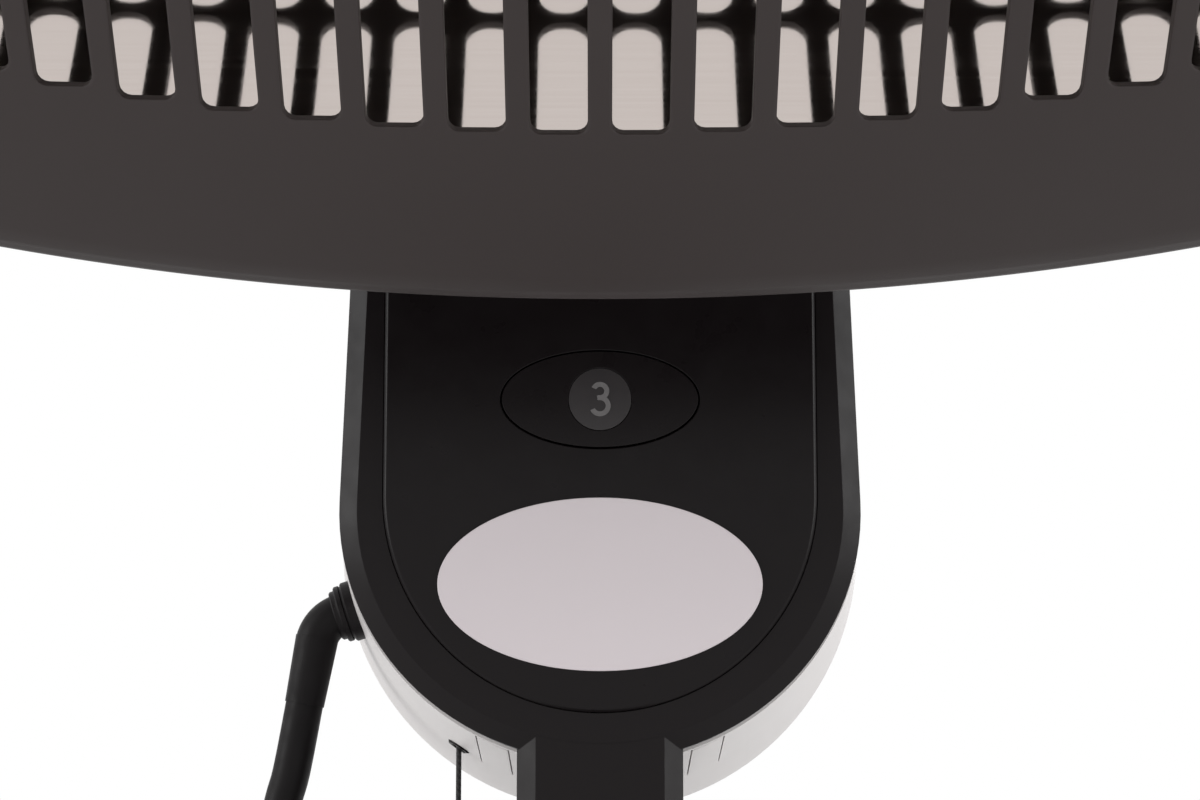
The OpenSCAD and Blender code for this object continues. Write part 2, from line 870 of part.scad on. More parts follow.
module screw_covers() color([0.78, 0.78, 0.79])
    intersection() {
        difference() {
            u_body(housing_section(-0.15), box_up);
            u_body(housing_section(pad_step), box_up);
        }
        pad_block(0);
    }

module housing_screws() color("silver")
    at_housing_screws() {
        cylinder(r = 3.6, h = 2.2, $fn = fine);
        translate([0, 0, -8]) cylinder(r = 2, h = 8, $fn = fine);
    }

// An upright plate behind the pole with a flange under the box's top
chassis_y = 24;
chassis_w = 72;
chassis_low = 34;
top_flange_w = 40;
flange_y = -16;
module chassis() color("silver") stand()
    difference() {
        union() {
            translate([-chassis_w / 2, chassis_y, box_z - chassis_low])
                cube([chassis_w, chassis_t, chassis_low + box_up - wall_t]);
            translate([-top_flange_w / 2, flange_y, box_z + box_up - wall_t - chassis_t])
                cube([top_flange_w, chassis_y + eps - flange_y, chassis_t]);
        }
        at_fork_bolts() translate([0, 0, box_z]) cylinder(r = fork_bolt_r + fit, h = far, $fn = fine);
    }

clamp_w = 44;
clamp_h = 22;
clamp_y = -pole_r + 5;
module pole_clamp() color("dimgray") stand()
    difference() {
        translate([-clamp_w / 2, clamp_y, pole_top - clamp_h])
            cube([clamp_w, chassis_y - clamp_y, clamp_h]);
        translate([0, 0, box_z - far / 2]) cylinder(r = pole_r + fit / 2, h = far, $fn = fine);
    }

terminal_w = 32;
terminal_t = 16;
terminal_h = 14;
module terminal_block() color("ivory") stand()
    translate([-terminal_w / 2, chassis_y + chassis_t, box_z - 10])
        cube([terminal_w, terminal_t, terminal_h]);

// The pull switch: a drum that the pull rod turns by friction as it slides past
drum_r = 8;
drum_x = -pull_x + drum_r + 1.2 + slide_gap;
drum_z = -28;
axle_r = 2;
case_wall = 1.6;
case_y0 = 10;
case_y1 = chassis_y;
case_x0 = -pull_x - 5;
case_x1 = drum_x + drum_r + slide_gap + case_wall;
case_h = 24;
case_z0 = drum_z - 11;
module drum_at() {
    stand() translate([drum_x, case_y0, box_z + drum_z]) rotate([-90, 0, 0]) children();
}

module switch_case() color("ivory")
    difference() {
        stand()
            translate([case_x0, case_y0, box_z + case_z0])
                cube([case_x1 - case_x0, case_y1 - case_y0, case_h]);
        stand()
            translate([case_x0 + case_wall, case_y0 + case_wall, box_z + case_z0 + case_wall])
                cube([
                    case_x1 - case_x0 - 2 * case_wall, case_y1 - case_y0 - 2 * case_wall,
                    case_h - 2 * case_wall
                ]);
        drum_at() translate([0, 0, -1]) cylinder(r = axle_r + fit, h = case_y1 - case_y0 + 2, $fn = fine);
        at_pull()
            translate([0, 0, drum_z - case_h])
                cylinder(r = rod_r + slide_gap, h = 2 * case_h, $fn = fine);
    }

notch_n = 4;
module switch_drum() color("orange") drum_at() {
    translate([0, 0, case_wall + slide_gap])
        difference() {
            cylinder(r = drum_r, h = case_y1 - case_y0 - 2 * (case_wall + slide_gap), $fn = fine);
            for (i = [0 : notch_n - 1])
                rotate([0, 0, (i + 0.5) * 360 / notch_n])
                    translate([drum_r - 1.4, -1.5, -1]) cube([4, 3, 4]);
        }
    translate([0, 0, fit]) cylinder(r = axle_r, h = case_y1 - case_y0 - 2 * fit, $fn = fine);
}

// The rod stays in the drum's case over the cord's whole travel
rod_r = 1.2;
cord_top = -pull_exit + 5;
rod_top = drum_z + 6 + pull_travel;
module pull_rod() color("silver") at_pull()
    translate([0, 0, cord_top]) cylinder(r = rod_r, h = rod_top - cord_top, $fn = fine);

module cord_eyelet() color("black")
    difference() {
        at_pull()
            translate([0, 0, -pull_exit - eyelet_out])
                cylinder(r = eyelet_r, h = eyelet_out + eyelet_in, $fn = fine);
        at_pull()
            translate([0, 0, -pull_exit - far / 2])
                cylinder(r = rod_r + slide_gap, h = far, $fn = fine);
    }

cord_end = cord_top - pull_len;
module pull_cord() color("black") at_pull()
    translate([0, 0, cord_end]) cylinder(d = pull_d, h = pull_len, $fn = 24);

knob_bell_h = 30;
module pull_knob() color([0.1, 0.1, 0.1]) at_pull()
    translate([0, 0, cord_end - knob_bell_h])
        rotate_extrude($fn = fine)
            polygon([
                [0, 0], [7, 0], [8.5, 2], [8.6, 5], [7.2, 12], [5.2, 20], [3.6, 27],
                [2.6, knob_bell_h], [0, knob_bell_h]
            ]);

// The tip-over switch: a pendulum on a cross pin inside an open case
tip_x = 20;
tip_z = 60;
tip_w = 30;
tip_d = 16;
tip_up = 6;
tip_down = 30;
tip_wall = 1.5;
tip_pin_r = 1.5;
tip_arm = 22;
bob_r = 4;
bob_l = 6;
module tip_at() {
    stand() translate([tip_x, chassis_y - tip_d / 2, box_z + tip_z]) children();
}

module tip_switch_case() color("ivory") tip_at()
    difference() {
        translate([-tip_w / 2, -tip_d / 2, -tip_down]) cube([tip_w, tip_d, tip_down + tip_up]);
        translate([-tip_w / 2 + tip_wall, -tip_d / 2 - tip_wall, -tip_down + tip_wall])
            cube([tip_w - 2 * tip_wall, tip_d, tip_down + tip_up - 2 * tip_wall]);
        rotate([90, 0, 0]) cylinder(r = tip_pin_r + fit / 2, h = 2 * tip_d, center = true, $fn = fine);
    }

module tip_pendulum() color("silver") tip_at() {
    translate([0, tip_d / 2 - fit, 0])
        rotate([90, 0, 0]) cylinder(r = tip_pin_r, h = tip_d - 2, $fn = fine);
    translate([-1, -bob_l / 2, -tip_arm]) cube([2, bob_l, tip_arm]);
    translate([0, bob_l / 2, -tip_arm]) rotate([90, 0, 0]) cylinder(r = bob_r, h = bob_l, $fn = fine);
}

module upper_pole() color([0.15, 0.15, 0.15]) pole_piece(joint_z + joint_ring, pole_top);
module lower_pole() color([0.15, 0.15, 0.15]) pole_piece(floor_z, joint_z);

joint_ring = 4;
module pole_piece(z0, z1) {
    stand()
        translate([0, 0, z0])
            difference() {
                cylinder(r = pole_r, h = z1 - z0, $fn = smooth);
                translate([0, 0, -1]) cylinder(r = pole_r - pole_t, h = z1 - z0 + 2, $fn = smooth);
            }
}

// A ring between the pole pieces on a sleeve that reaches into both
joint_l = 30;
module pole_joint() color("silver") stand()
    difference() {
        union() {
            translate([0, 0, joint_z]) cylinder(r = pole_r + 1.5, h = joint_ring, $fn = smooth);
            translate([0, 0, joint_z - joint_l])
                cylinder(r = pole_r - pole_t - fit, h = 2 * joint_l + joint_ring, $fn = smooth);
        }
        translate([0, 0, joint_z - far / 2])
            cylinder(r = pole_r - 2 * pole_t - fit - 1, h = far, $fn = smooth);
    }

flange_reach = 16;
socket_screw_n = 3;
module at_socket_screws() {
    for (i = [0 : socket_screw_n - 1])
        rotate([0, 0, 90 + i * 360 / socket_screw_n])
            translate([socket_r + flange_reach - 7, 0, 0]) children();
}

bolt_r = 5;
module base_socket() color([0.12, 0.12, 0.12]) stand()
    difference() {
        union() {
            translate([0, 0, base_h])
                cylinder(r = socket_r + flange_reach, h = floor_z - base_h, $fn = smooth);
            translate([0, 0, base_h]) cylinder(r = socket_r, h = socket_h, $fn = smooth);
        }
        translate([0, 0, floor_z]) cylinder(r = pole_r + fit, h = far, $fn = smooth);
        cylinder(r = bolt_r + fit, h = far, $fn = fine);
        at_socket_screws() cylinder(r = screw_r + fit, h = far, $fn = fine);
    }

socket_screw_l = 14;
module socket_screws() color("silver") stand()
    at_socket_screws() {
        translate([0, 0, floor_z]) cylinder(r = screw_head_r, h = 2.4, $fn = fine);
        translate([0, 0, floor_z - socket_screw_l])
            cylinder(r = screw_r, h = socket_screw_l + eps, $fn = fine);
    }

cover_edge = 4;
rim_h = 10;
boss_r = 50;
function cover_profile(step) = [
    [base_r - step, cover_edge + rim_h - step * 0.4],
    [base_r - 4 - step * 0.7, cover_edge + rim_h + 4.5 - step * 0.8],
    [base_r - 14 - step * 0.2, cover_edge + rim_h + 8 - step],
    [base_r * 0.6, base_h - 2.4 - step],
    [boss_r, base_h - step]
];

module base_cover() color([0.15, 0.15, 0.15]) stand()
    difference() {
        rotate_extrude($fn = smooth)
            polygon(concat(
                [[base_r - cover_t, cover_edge], [base_r, cover_edge]],
                cover_profile(0),
                [[bolt_r + fit, base_h], [bolt_r + fit, base_h - cover_t]],
                [for (i = [4 : -1 : 0]) cover_profile(cover_t)[i]]
            ));
        at_socket_screws() cylinder(r = screw_r + fit, h = far, $fn = fine);
    }

weight_z = foot_h;
bolt_head_r = 8.5;
bolt_sink = 7;
nut_h = 14;
module base_weight() color("dimgray") stand()
    difference() {
        union() {
            translate([0, 0, weight_z]) cylinder(r = weight_r, h = weight_t - 3, $fn = smooth);
            translate([0, 0, weight_z]) cylinder(r = base_r * 0.55, h = weight_t, $fn = smooth);
            translate([0, 0, weight_z])
                cylinder(r = boss_r - 2, h = base_h - cover_t - weight_z, $fn = smooth);
        }
        cylinder(r = bolt_r + fit, h = far, $fn = fine);
        cylinder(r = bolt_head_r + 1.5, h = weight_z + bolt_sink, $fn = fine);
        at_socket_screws()
            translate([0, 0, floor_z - socket_screw_l - 1])
                cylinder(r = screw_r + fit / 2, h = far, $fn = fine);
    }

module base_feet() color("black") stand()
    for (i = [0 : foot_n - 1])
        rotate([0, 0, i * 360 / foot_n])
            translate([weight_r - foot_r - 4, 0, 0])
                cylinder(r = foot_r, h = foot_h, $fn = fine);

module base_bolt() color("silver") stand() {
    translate([0, 0, weight_z + bolt_sink - 5.5]) cylinder(r = bolt_head_r, h = 5.5, $fn = 6);
    translate([0, 0, weight_z + bolt_sink - eps])
        cylinder(r = bolt_r, h = floor_z + nut_h + 8 - weight_z - bolt_sink, $fn = fine);
}

module pole_nut() color("silver") stand()
    translate([0, 0, floor_z + slide_gap])
        difference() {
            cylinder(r = pole_r - pole_t - fit, h = nut_h, $fn = smooth);
            translate([0, 0, -1]) cylinder(r = bolt_r + fit / 2, h = nut_h + 2, $fn = fine);
        }

// The lead's way out: a gland in the housing's left side and a moulded elbow
gland_flange = 2.4;
gland_in = 5;
module cable_gland() color([0.08, 0.08, 0.08]) at_gland() {
    translate([0, 0, gland_seat]) cylinder(r = gland_r, h = gland_flange, $fn = fine);
    translate([0, 0, -gland_in]) cylinder(r = gland_shank_r, h = gland_in + gland_seat + eps, $fn = fine);
}

elbow_r = 8;
elbow_turn = 62;
relief_len = 14;
relief_lap = 1;
elbow_d = lead_d + 1;
elbow_start = gland_seat + gland_flange;
module strain_relief() color([0.07, 0.07, 0.07]) at_gland()
    translate([-elbow_r, 0, elbow_start]) {
        rotate([90, 0, 0])
            rotate_extrude(angle = elbow_turn, $fn = smooth)
                translate([elbow_r, 0]) circle(d = elbow_d, $fn = 48);
        rotate([0, -elbow_turn, 0])
            translate([elbow_r, 0, -relief_lap])
                cylinder(d1 = elbow_d + 0.2, d2 = lead_d + 0.4, h = relief_len + relief_lap, $fn = 48);
    }

// A tube of given diameter and sides swept along points by frames that turn the least
function dirs(p) = [for (i = [0 : len(p) - 1])
    let (d = i == 0 ? p[1] - p[0] : i == len(p) - 1 ? p[i] - p[i - 1] : p[i + 1] - p[i - 1])
        d / norm(d)];
function carry(n, t) = let (m = n - (n * t) * t) m / norm(m);
function frames(t, i, acc) = i == len(t) ? acc :
    frames(t, i + 1, concat(acc, [carry(acc[i - 1], t[i])]));
function start_normal(t) = carry(abs(t[2]) < 0.9 ? [0, 0, 1] : [1, 0, 0], t);

module sweep(p, d, sides) {
    t = dirs(p);
    n = frames(t, 1, [start_normal(t[0])]);
    last = (len(p) - 1) * sides;
    polyhedron(
        [for (i = [0 : len(p) - 1], k = [0 : sides - 1])
            let (a = k * 360 / sides)
                p[i] + d / 2 * (cos(a) * n[i] + sin(a) * cross(t[i], n[i]))],
        concat(
            [for (k = [1 : sides - 2]) [0, k, k + 1]],
            [for (k = [1 : sides - 2]) [last, last + k + 1, last + k]],
            [for (i = [0 : len(p) - 2], k = [0 : sides - 1]) each
                let (a = i * sides + k, b = i * sides + (k + 1) % sides)
                    [[a, b + sides, b], [a, a + sides, b + sides]]]
        )
    );
}

function spline(a, b, c, d, u) = 0.5 * (2 * b + (c - a) * u + (2 * a - 5 * b + 4 * c - d) * u * u
    + (3 * b - a - 3 * c + d) * u * u * u);
function smooth_path(p, steps) = concat(
    [for (i = [0 : len(p) - 2], s = [0 : steps - 1])
        spline(p[max(0, i - 1)], p[i], p[i + 1], p[min(len(p) - 1, i + 2)], s / steps)],
    [p[len(p) - 1]]
);
function path_length(p, i = 0) = i > len(p) - 2 ? 0 : norm(p[i + 1] - p[i]) + path_length(p, i + 1);

// The lead's route: out of the relief, down beside the pole and clear of the base, to the coil
gland_out = [-cos(gland_a), 0, -sin(gland_a)];
gland_up = [-sin(gland_a), 0, cos(gland_a)];
lead_dir = gland_out * cos(elbow_turn) - gland_up * sin(elbow_turn);
lead_start = [0, gland_y, box_z]
    + gland_out * (gland_reach + elbow_start + elbow_r * sin(elbow_turn) + relief_len * cos(elbow_turn))
    - gland_up * (elbow_r * (1 - cos(elbow_turn)) + relief_len * sin(elbow_turn));
coil_c = [-190, 190];
coil_a = 223;
tie_t = 0.8;
tie_z = 0.1;
coil_z = tie_z + tie_t + slide_gap + lead_d / 2;
coil_pitch = lead_d + 1.8;
coil_rise = lead_d + 0.7;
coil_low = 2;
coil_climb = 0.5;
coil_top = 1.9;
coil_turns = coil_low + coil_climb + coil_top;
coil_out = coil_r + coil_pitch;
coil_in = coil_out - coil_low * coil_pitch;
coil_steps = 24;
run_in = 8;

function coil_radius(t) = t < coil_low ? coil_out - coil_pitch * t
    : coil_in + coil_pitch * max(0, t - coil_low - coil_climb);
function climb(u) = u * u * (3 - 2 * u);
function coil_height(t) = coil_z
    + coil_rise * climb(min(1, max(0, (t - coil_low) / coil_climb)));
function coil_point(t) = let (a = coil_a - 360 * t)
    [coil_c[0] + coil_radius(t) * cos(a), coil_c[1] + coil_radius(t) * sin(a), coil_height(t)];
function coil_dir(t) = let (a = coil_a - 360 * t) [sin(a), -cos(a), 0];

plug_r = 17.5;
plug_z = plug_r + 0.2;
plug_dir = coil_dir(coil_turns);
tail = coil_point(coil_turns);
plug_run = 48;
plug_at = [tail[0], tail[1], 0] + plug_run * plug_dir + [0, 0, plug_z];
lead_route = [
    lead_start, lead_start + 15 * lead_dir,
    [-72, 14.8, 632], [-80, 18, 580], [-89, 24, 500], [-96, 30, 420], [-103, 36, 340],
    [-111, 43, 260], [-120, 51, 188], [-131, 61, 128], [-144, 73, 84], [-158, 86, 52],
    [-174, 101, 28], [-190, 117, 13], [-206, 133, 6.5],
    coil_point(0) - run_in * coil_dir(0)
];
lead_path = smooth_path(lead_route, 3);
coil_rings = [for (i = [0 : ceil(coil_turns * coil_steps) - 1]) coil_point(i / coil_steps)];
coil_path = concat(
    [coil_point(0) - run_in * coil_dir(0)],
    coil_rings,
    [tail, tail + 12 * plug_dir, tail + 24 * plug_dir + [0, 0, (plug_z - tail[2]) * 0.5],
        plug_at - 12 * plug_dir, plug_at]
);
turn_gap = min([for (i = [0 : len(coil_rings) - 1], j = [i + coil_steps / 2 : len(coil_rings) - 1])
    norm(coil_rings[i] - coil_rings[j])]) - lead_d;
echo(lead_mm = path_length(lead_path), coil_mm = path_length(coil_path), turn_gap = turn_gap);
echo(lead_start = lead_start, plug_at = plug_at, plug_dir = plug_dir);

module power_cable() color([0.08, 0.08, 0.08]) stand() sweep(lead_path, lead_d, 10);
module cable_coil() color([0.08, 0.08, 0.08]) stand() sweep(coil_path, lead_d, 6);

// Turns a solid drawn along +Z to lie along the plug's axis, starting at the lead's end
module at_plug() {
    stand()
        translate(plug_at)
            rotate([0, 0, atan2(plug_dir[1], plug_dir[0])])
                rotate([0, 90, 0])
                    children();
}

// A flat band once round the coil's turns
tie_a = 160;
tie_w = 14;
tie_room = lead_d / 2 + slide_gap;
module cable_tie() color("black") stand()
    translate([coil_c[0], coil_c[1], 0])
        rotate([0, 0, tie_a])
            difference() {
                translate([coil_in - tie_room - tie_t, -tie_w / 2, tie_z])
                    cube([
                        coil_out - coil_in + 2 * (tie_room + tie_t), tie_w,
                        coil_rise + 2 * (tie_room + tie_t)
                    ]);
                translate([coil_in - tie_room, -tie_w, tie_z + tie_t])
                    cube([coil_out - coil_in + 2 * tie_room, 2 * tie_w, coil_rise + 2 * tie_room]);
            }

pin_r = 2.4;
pin_gap = 19;
plug_cone = 18;
plug_len = 56;
module plug_body() color([0.08, 0.08, 0.08]) at_plug()
    difference() {
        union() {
            cylinder(r1 = lead_d / 2 + 1, r2 = 9, h = plug_cone + eps, $fn = fine);
            translate([0, 0, plug_cone]) cylinder(r1 = 12, r2 = plug_r, h = 10, $fn = fine);
            translate([0, 0, plug_cone + 10 - eps])
                cylinder(r = plug_r, h = plug_len - plug_cone - 10, $fn = fine);
        }
        for (s = [-1, 1])
            translate([0, s * pin_gap / 2, plug_len - 8]) cylinder(r = pin_r, h = 20, $fn = fine);
        for (s = [0, 1])
            mirror([s, 0, 0]) translate([plug_r - 3, -3, plug_len - 14]) cube([5, 6, 20]);
    }

module plug_pins() color("silver") at_plug()
    for (s = [-1, 1])
        translate([0, s * pin_gap / 2, plug_len - 8]) {
            cylinder(r = pin_r, h = 25.5, $fn = fine);
            translate([0, 0, 25.5]) sphere(r = pin_r, $fn = fine);
        }

front_guard();
head_shell();
reflector();
lamp_tubes();
lamp_coils();
lamp_ends();
lamp_brackets();
guard_screws();
thermal_cutout();
head_terminal();
tilt_arm();
arm_bolts();
tilt_fork();
fork_bolts();
hinge_bolt();
hinge_washers();
tilt_knob();
front_cover();
face_panel();
label_plate();
level_button();
button_lens();
digit();
circuit_board();
board_relays();
tact_switch();
rear_housing();
screw_covers();
housing_screws();
chassis();
pole_clamp();
terminal_block();
switch_case();
switch_drum();
pull_rod();
cord_eyelet();
pull_cord();
pull_knob();
tip_switch_case();
tip_pendulum();
upper_pole();
lower_pole();
pole_joint();
base_socket();
socket_screws();
base_cover();
base_weight();
base_feet();
base_bolt();
pole_nut();
cable_gland();
strain_relief();
power_cable();
cable_coil();
cable_tie();
plug_body();
plug_pins();
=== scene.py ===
"""Tabletop patio heater: the visible pieces, their finishes and a plain studio."""
import contextlib
import json
import math

import bpy
from mathutils import Matrix, Vector

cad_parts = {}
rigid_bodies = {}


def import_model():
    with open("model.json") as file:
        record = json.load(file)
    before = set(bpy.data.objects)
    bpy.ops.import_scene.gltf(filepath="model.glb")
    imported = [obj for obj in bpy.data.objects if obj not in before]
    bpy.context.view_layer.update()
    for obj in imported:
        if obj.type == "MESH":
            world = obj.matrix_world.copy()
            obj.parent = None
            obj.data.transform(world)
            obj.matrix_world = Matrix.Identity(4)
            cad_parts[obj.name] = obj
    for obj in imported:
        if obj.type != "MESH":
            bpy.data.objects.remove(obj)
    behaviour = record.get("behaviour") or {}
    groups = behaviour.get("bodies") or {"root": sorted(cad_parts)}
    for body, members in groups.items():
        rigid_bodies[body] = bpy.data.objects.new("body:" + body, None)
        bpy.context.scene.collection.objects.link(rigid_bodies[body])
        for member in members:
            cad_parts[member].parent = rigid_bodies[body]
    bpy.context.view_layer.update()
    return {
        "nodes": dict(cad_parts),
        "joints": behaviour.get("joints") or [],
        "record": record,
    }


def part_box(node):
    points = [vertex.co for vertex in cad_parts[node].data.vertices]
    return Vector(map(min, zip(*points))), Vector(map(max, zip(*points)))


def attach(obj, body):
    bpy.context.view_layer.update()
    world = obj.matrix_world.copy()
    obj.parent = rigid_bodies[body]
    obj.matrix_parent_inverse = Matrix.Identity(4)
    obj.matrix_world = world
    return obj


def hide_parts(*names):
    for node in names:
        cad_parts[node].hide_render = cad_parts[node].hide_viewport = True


bl_info = {
    "name": "Patio Heater Builder",
    "version": (1, 0, 0),
    "blender": (4, 5, 0),
    "location": "3D View > Sidebar > Heater",
    "description": "Builds the visible pieces of an electric tabletop patio heater",
    "category": "Add Mesh",
}

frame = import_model()
MM = 0.001

# Places that the frame gives: the pole's axis, the box's centre and the tilt hinge
panel_low, panel_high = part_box("face_panel")
PANEL_UP = 3 * MM
BOX_Z = panel_low[2] + (panel_high[0] - panel_low[0]) / 2 - PANEL_UP
pole_low, pole_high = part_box("upper_pole")
STAND_Y = (pole_low[1] + pole_high[1]) / 2
HINGE = Vector(next(j["pos_m"] for j in frame["joints"] if j["name"] == "head_tilt"))

# The head's own frame: x to the side, y up its face, z out of its face, from its front apex
HEAD_TILT = math.radians(32)
ARM_DROP = 30 * MM
ARM_BACK = 145 * MM
HEAD_TURN = Matrix.Rotation(math.radians(90) + HEAD_TILT, 4, "X")
HEAD_APEX = HINGE - HEAD_TURN.to_3x3() @ Vector((0, -ARM_DROP, -ARM_BACK))
TO_HEAD = Matrix.Translation(HEAD_APEX) @ HEAD_TURN


def srgb(r, g, b):
    """A colour read as 8-bit display values, in the linear values that shaders take."""
    return tuple(
        v / 255 / 12.92 if v / 255 <= 0.04045 else ((v / 255 + 0.055) / 1.055) ** 2.4
        for v in (r, g, b)
    )


SLOTS = {p["node"]: p["material_slot"] for p in frame["record"]["subparts"]}
BODIES = {name: obj.parent.name.split(":")[1] for name, obj in frame["nodes"].items()}


class GuardSettings(bpy.types.PropertyGroup):
    """Sizes of the slotted guard on the head's front."""

    half_width: bpy.props.FloatProperty(
        name="Half width", description="Half width of the oval", default=230 * MM, unit="LENGTH")
    half_height: bpy.props.FloatProperty(
        name="Half height", description="Half height of the oval", default=108 * MM, unit="LENGTH")
    edge_radius: bpy.props.FloatProperty(
        name="Edge radius", description="Radius of the long upper and lower edges",
        default=600 * MM, unit="LENGTH")
    band: bpy.props.FloatProperty(
        name="Band", description="Width of the plain band round the slots", default=37 * MM,
        unit="LENGTH")
    slot_pitch: bpy.props.FloatProperty(
        name="Slot pitch", description="Spacing of the slots", default=14.2 * MM, unit="LENGTH")
    slot_width: bpy.props.FloatProperty(
        name="Slot width", description="Width of a slot", default=10 * MM, unit="LENGTH")
    lip: bpy.props.FloatProperty(
        name="Lip", description="Rounding of the slots' edges", default=0.6 * MM, unit="LENGTH")
    sheet: bpy.props.FloatProperty(
        name="Sheet", description="Thickness of the sheet", default=2.5 * MM, unit="LENGTH")
    depth: bpy.props.FloatProperty(
        name="Depth", description="Depth of the rim behind the apex", default=44 * MM,
        unit="LENGTH")


class LeadSettings(bpy.types.PropertyGroup):
    """Sizes of the mains lead and the pull cord."""

    diameter: bpy.props.FloatProperty(
        name="Lead diameter", description="Diameter of the mains lead", default=8.4 * MM,
        unit="LENGTH")
    coil_radius: bpy.props.FloatProperty(
        name="Coil radius", description="Mean radius of the coil", default=42 * MM, unit="LENGTH")
    pull_diameter: bpy.props.FloatProperty(
        name="Pull cord diameter", description="Diameter of the pull cord", default=1.2 * MM,
        unit="LENGTH")


class FinishSettings(bpy.types.PropertyGroup):
    """Colours of the main finishes."""

    guard: bpy.props.FloatVectorProperty(
        name="Guard", description="Stove paint of the guard", subtype="COLOR",
        default=srgb(54, 47, 46))
    frame: bpy.props.FloatVectorProperty(
        name="Frame", description="Powder paint of stand and hinge", subtype="COLOR",
        default=srgb(24, 21, 21))
    cover: bpy.props.FloatVectorProperty(
        name="Cover", description="Black plastic of the control box", subtype="COLOR",
        default=srgb(21, 17, 18))
    silver: bpy.props.FloatVectorProperty(
        name="Housing", description="Silver lacquer of the housing", subtype="COLOR",
        default=srgb(213, 209, 208))
    label: bpy.props.FloatVectorProperty(
        name="Label", description="Blank label plate", subtype="COLOR", default=srgb(216, 207, 210))
    lead: bpy.props.FloatVectorProperty(
        name="Lead", description="Sheath of the lead", subtype="COLOR", default=srgb(16, 13, 14))


def settings(name):
    """One of the heater's property groups on the scene."""
    return getattr(bpy.context.scene, "heater_" + name)


# Tools that several pieces share. Points nearer than MERGE become one, as do faces flatter than
# FLAT, and edges sharper than SHARP are rounded
MERGE = 1e-6
FLAT = math.radians(0.4)
SHARP = math.radians(30)


def select_only(obj):
    """Leaves one object selected and active, in object mode."""
    if bpy.context.object and bpy.context.object.mode != "OBJECT":
        bpy.ops.object.mode_set(mode="OBJECT")
    bpy.ops.object.select_all(action="DESELECT")
    obj.select_set(True)
    bpy.context.view_layer.objects.active = obj


def apply_modifiers(obj):
    """Applies every modifier of a piece in order."""
    select_only(obj)
    for name in [m.name for m in obj.modifiers]:
        bpy.ops.object.modifier_apply(modifier=name)


@contextlib.contextmanager
def editing(obj):
    """Edit mode with the whole of a piece selected."""
    select_only(obj)
    bpy.ops.object.mode_set(mode="EDIT")
    bpy.ops.mesh.select_all(action="SELECT")
    yield
    bpy.ops.object.mode_set(mode="OBJECT")


def discard(obj):
    """Removes an object with its mesh."""
    mesh = obj.data
    bpy.data.objects.remove(obj)
    bpy.data.meshes.remove(mesh)


def combine(obj, others, operation):
    """Joins the others to a piece or takes them out of it, and removes them."""
    for other in others:
        step = obj.modifiers.new("combine", "BOOLEAN")
        step.operation = operation
        step.solver = "EXACT"
        step.object = other
    apply_modifiers(obj)
    for other in others:
        discard(other)


def bake_place(obj):
    """Moves an object's place into its mesh."""
    select_only(obj)
    bpy.ops.object.transform_apply(location=True, rotation=True, scale=True)


def new_mesh(name, verts, faces, edges=()):
    """A mesh object from points and faces, linked to the scene."""
    mesh = bpy.data.meshes.new(name)
    mesh.from_pydata([tuple(v) for v in verts], list(edges), list(faces))
    mesh.validate()
    mesh.update()
    obj = bpy.data.objects.new(name, mesh)
    bpy.context.scene.collection.objects.link(obj)
    return obj


def smooth(obj, angle=40):
    """Smooth shading that keeps edges sharper than the angle, weighted by face area."""
    select_only(obj)
    bpy.ops.object.shade_smooth_by_angle(angle=math.radians(angle))
    weigh = obj.modifiers.new("weigh", "WEIGHTED_NORMAL")
    weigh.keep_sharp = True
    weigh.weight = 100
    apply_modifiers(obj)


def recalculate_normals(obj):
    """Turns all the faces of a closed mesh outwards."""
    with editing(obj):
        bpy.ops.mesh.normals_make_consistent(inside=False)


def finish_piece(obj, *nodes):
    """Gives the piece the body and the slot of the first node, and stands it in for all of them."""
    slot = SLOTS[nodes[0]]
    obj.data.materials.clear()
    obj.data.materials.append(finish(slot))
    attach(obj, BODIES[nodes[0]])
    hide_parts(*nodes)
    return obj


def softened(node, name, width, shape=None):
    """A copy of a node with merged points and whole flat faces, shaped and with rounded edges."""
    source = frame["nodes"][node]
    obj = bpy.data.objects.new(name, source.data.copy())
    bpy.context.scene.collection.objects.link(obj)
    select_only(obj)
    bpy.ops.mesh.customdata_custom_splitnormals_clear()
    with editing(obj):
        bpy.ops.mesh.remove_doubles(threshold=2 * MERGE)
        bpy.ops.mesh.dissolve_limited(angle_limit=FLAT)
    if shape:
        shape(obj)
    bevel = obj.modifiers.new("soften", "BEVEL")
    bevel.width = width
    bevel.segments = 2
    bevel.limit_method = "ANGLE"
    bevel.angle_limit = SHARP
    bevel.harden_normals = False
    apply_modifiers(obj)
    smooth(obj)
    return obj


def dress(node, name, width, shape=None):
    """Stands a softened copy in for a node."""
    return finish_piece(softened(node, name, width, shape), node)


def dress_all(*rows):
    """Dresses nodes: a row has a node, its piece's name, its edges' rounding and any shape."""
    return [dress(*row) for row in rows]


def tube(name, points, diameter):
    """A round tube along the points, closed at both ends, made from a curve."""
    curve = bpy.data.curves.new(name, "CURVE")
    curve.dimensions = "3D"
    spline = curve.splines.new("POLY")
    spline.points.add(len(points) - 1)
    for target, p in zip(spline.points, points):
        target.co = (*p, 1)
    curve.bevel_depth = diameter / 2
    curve.bevel_resolution = 6
    curve.use_fill_caps = True
    obj = bpy.data.objects.new(name, curve)
    bpy.context.scene.collection.objects.link(obj)
    select_only(obj)
    bpy.ops.object.convert(target="MESH")
    obj = bpy.context.object
    with editing(obj):
        bpy.ops.mesh.remove_doubles(threshold=MERGE)
        bpy.ops.mesh.normals_make_consistent(inside=False)
    smooth(obj, 60)
    return obj


